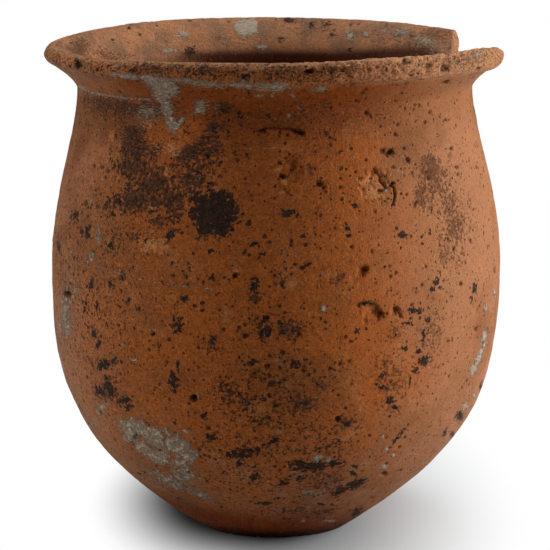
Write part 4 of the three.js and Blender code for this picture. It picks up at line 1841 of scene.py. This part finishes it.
    def snap(self, turned: Turned, heights: np.ndarray) -> np.ndarray:
        """Moves what is missing of the lip down to the broken face.

        Args:
            turned: the vertices, moved here.
            heights: height of each row at every step round the jar.

        Returns:
            How freshly broken the clay is at each vertex.
        """
        rows = turned.rows
        columns = turned.columns
        every = np.arange(COLUMNS)
        around = every * math.tau / COLUMNS
        radius = turned.section.line[:, 0]
        left = self.left_standing(np.outer(np.cos(around), radius), np.outer(np.sin(around), radius))
        over = heights - left
        gone = over > 0.0
        first = np.maximum(np.argmax(gone, axis=1), 1)
        last = np.minimum(len(radius) - 1 - np.argmax(gone[:, ::-1], axis=1), len(radius) - 2)
        before = over[every, first - 1]
        after = over[every, last + 1]
        start = first - 1 + before / (before - over[every, first])
        end = last + over[every, last] / (over[every, last] - after)
        inside = gone.any(axis=1)[columns] & (rows > start[columns]) & (rows < end[columns])
        column = columns[inside]
        share = (rows[inside] - start[column]) / (end[column] - start[column])
        steps = np.arange(len(radius))
        outer_edge = np.interp(start[column], steps, radius)
        inner_edge = np.interp(end[column], steps, radius)
        cut = outer_edge * (1.0 - share) + inner_edge * share
        across = cut * np.cos(around[column])
        back = cut * np.sin(around[column])
        turned.points[inside] = np.column_stack((across, back, self.left_standing(across, back)))
        turned.normals[inside] = (0.0, 0.0, 1.0)
        return np.where(inside, self.snap_fresh, 0.0)


@dataclass(frozen=True)
class SoftBox:
    """A rectangular studio light."""

    name: str
    place: Triple
    aim: Triple
    width: float
    height: float
    power: float
    colour: Triple = (1.0, 1.0, 1.0)

    def hang(self) -> None:
        """Puts the light in the scene."""
        light = bpy.data.lights.new(self.name, "AREA")
        light.shape = "RECTANGLE"
        light.size = self.width
        light.size_y = self.height
        light.energy = self.power
        light.color = self.colour
        lamp = bpy.data.objects.new(self.name, light)
        lamp.location = self.place
        lamp.rotation_euler = (Vector(self.aim) - Vector(self.place)).to_track_quat("-Z", "Y").to_euler()
        bpy.context.scene.collection.objects.link(lamp)


@dataclass
class Studio:
    """Pale floor with a painted shadow round the jar, soft light from both sides, and white all round."""

    floor_half: float = 6.0
    # Floor colours that the camera sees near the jar: a painted shadow, dark on the left and grey on the
    # right
    floor_shadow_left: Colour = (0.05, 0.05, 0.05, 1.0)
    floor_shadow_right: Colour = (0.60, 0.66, 0.70, 1.0)
    floor_bounce: Colour = (0.80, 0.80, 0.80, 1.0)
    # Darker floor near the jar for bounced light: painted shade under the jar
    floor_bounce_shaded: Colour = (0.55, 0.55, 0.55, 1.0)
    bounce_near: float = 0.03
    bounce_far: float = 0.13
    white_near: Pair = (0.042, 0.066)
    white_far: Pair = (0.1146, 0.217)
    shade_centre: Triple = (-0.0124, 0.0275, 0.0)
    shade_squeeze: Triple = (2.15, 1.0, 1.0)
    side_reach: float = 0.03
    glossy_share: float = 0.08
    ambient: float = 0.07
    boxes: tuple[SoftBox, ...] = (
        SoftBox("right_box", (0.951, 0.0, 0.40), (0.0, 0.0, 0.09), 0.5, 0.5, 8.5, (1.0, 0.98, 0.95)),
        SoftBox("left_box", (-0.940, 0.03, 0.43), (0.0, 0.0, 0.09), 0.5, 0.5, 4.3, (1.0, 0.97, 0.92)),
        SoftBox("top_box", (0.0, 0.35, 1.02), (0.0, 0.0, 0.09), 0.5, 0.5, 3.9),
    )

    def build(self) -> None:
        """Makes the floor, the lights and the surroundings."""
        for box in self.boxes:
            box.hang()
        self.floor()
        self.surroundings()
        bpy.context.scene.view_settings.view_transform = "Standard"

    def floor(self) -> None:
        """A wide floor that keeps the jar's shadow, has a painted shadow round the jar, and is white
        further out.
        """
        sheet = bmesh.new()
        bmesh.ops.create_grid(sheet, x_segments=1, y_segments=1, size=self.floor_half)
        mesh = bpy.data.meshes.new("studio_floor")
        sheet.to_mesh(mesh)
        sheet.free()
        floor = bpy.data.objects.new("studio_floor", mesh)
        bpy.context.scene.collection.objects.link(floor)
        material = bpy.data.materials.new("pale_floor")
        material.use_nodes = True
        board = NodeBoard(material.node_tree)
        place = board.add("ShaderNodeTexCoord").outputs["Object"]
        away = board.vector("LENGTH", place).outputs["Value"]
        aside = board.add("ShaderNodeSeparateXYZ", {0: place}).outputs["X"]
        right = board.step(aside, -self.side_reach, self.side_reach)
        near = board.step(right, 0.0, 1.0, *self.white_near)
        far = board.step(right, 0.0, 1.0, *self.white_far)
        shaded = board.vector("SUBTRACT", place, self.shade_centre).outputs[0]
        shaded = board.vector("MULTIPLY", shaded, self.shade_squeeze).outputs[0]
        spread = board.vector("LENGTH", shaded).outputs["Value"]
        paths = board.add("ShaderNodeLightPath").outputs
        glossy = board.math("MAXIMUM", paths["Is Glossy Ray"], paths["Is Transmission Ray"])
        mirrored = board.times(glossy, self.glossy_share)
        looked_at = board.math("MAXIMUM", paths["Is Camera Ray"], mirrored)
        share = board.times(board.step(spread, near, far), looked_at)
        # Painted shadow round the jar, as the camera sees the floor
        seen = board.mix(right, self.floor_shadow_left, self.floor_shadow_right)
        # Darker near the jar for bounced light, painted shade under the jar
        distance = board.step(away, self.bounce_near, self.bounce_far)
        bounce = board.mix(distance, self.floor_bounce_shaded, self.floor_bounce)
        pale = board.add("ShaderNodeBsdfDiffuse", {"Color": board.mix(looked_at, bounce, seen)})
        white = board.add("ShaderNodeEmission", {"Color": WHITE, "Strength": 1.0})
        shader = board.add("ShaderNodeMixShader", {0: share, 1: pale.outputs[0], 2: white.outputs[0]})
        board.add("ShaderNodeOutputMaterial", {"Surface": shader.outputs[0]})
        mesh.materials.append(material)

    def surroundings(self) -> None:
        """White where the camera sees past the floor, and a low even light elsewhere."""
        world = bpy.data.worlds.new("studio_surroundings")
        bpy.context.scene.world = world
        world.use_nodes = True
        board = NodeBoard(world.node_tree)
        paths = board.add("ShaderNodeLightPath").outputs
        dim = board.add("ShaderNodeBackground", {"Color": WHITE, "Strength": self.ambient}).outputs[0]
        white = board.add("ShaderNodeBackground", {"Color": WHITE, "Strength": 1.0}).outputs[0]
        shader = board.add("ShaderNodeMixShader", {0: paths["Is Camera Ray"], 1: dim, 2: white})
        board.add("ShaderNodeOutputWorld", {"Surface": shader.outputs[0]})


# Rings of the wall from the foot up: name, lower and upper joint in millimetres
RINGS = (
    ("foot_coil", 8, 25),
    ("lower_wall_coil", 25, 45),
    ("lower_belly_coil", 45, 67),
    ("upper_belly_coil", 67, 90),
    ("lower_shoulder_coil", 90, 112),
    ("upper_shoulder_coil", 112, 131),
    ("neck_coil", 131, 146),
)


def main() -> None:
    """Builds the jar piece by piece, then the studio round it."""
    logging.basicConfig(level=logging.INFO, format="%(message)s")
    sight = Sight()
    shape = JarShape()
    weather = Weather(shape)
    clay = ClayFinish().material()
    pieces: list[ClayPiece] = [BaseSlab("base_slab", shape)]
    for name, low, high in RINGS:
        pieces.append(WallRing(name, shape, low=low * MM, high=high * MM))
    pieces.append(RimRing("rim_coil", shape))
    for piece in pieces:
        piece.dress(piece.build(sight, weather), clay)
    sight.set_camera()
    Studio().build()


if __name__ == "__main__":
    main()
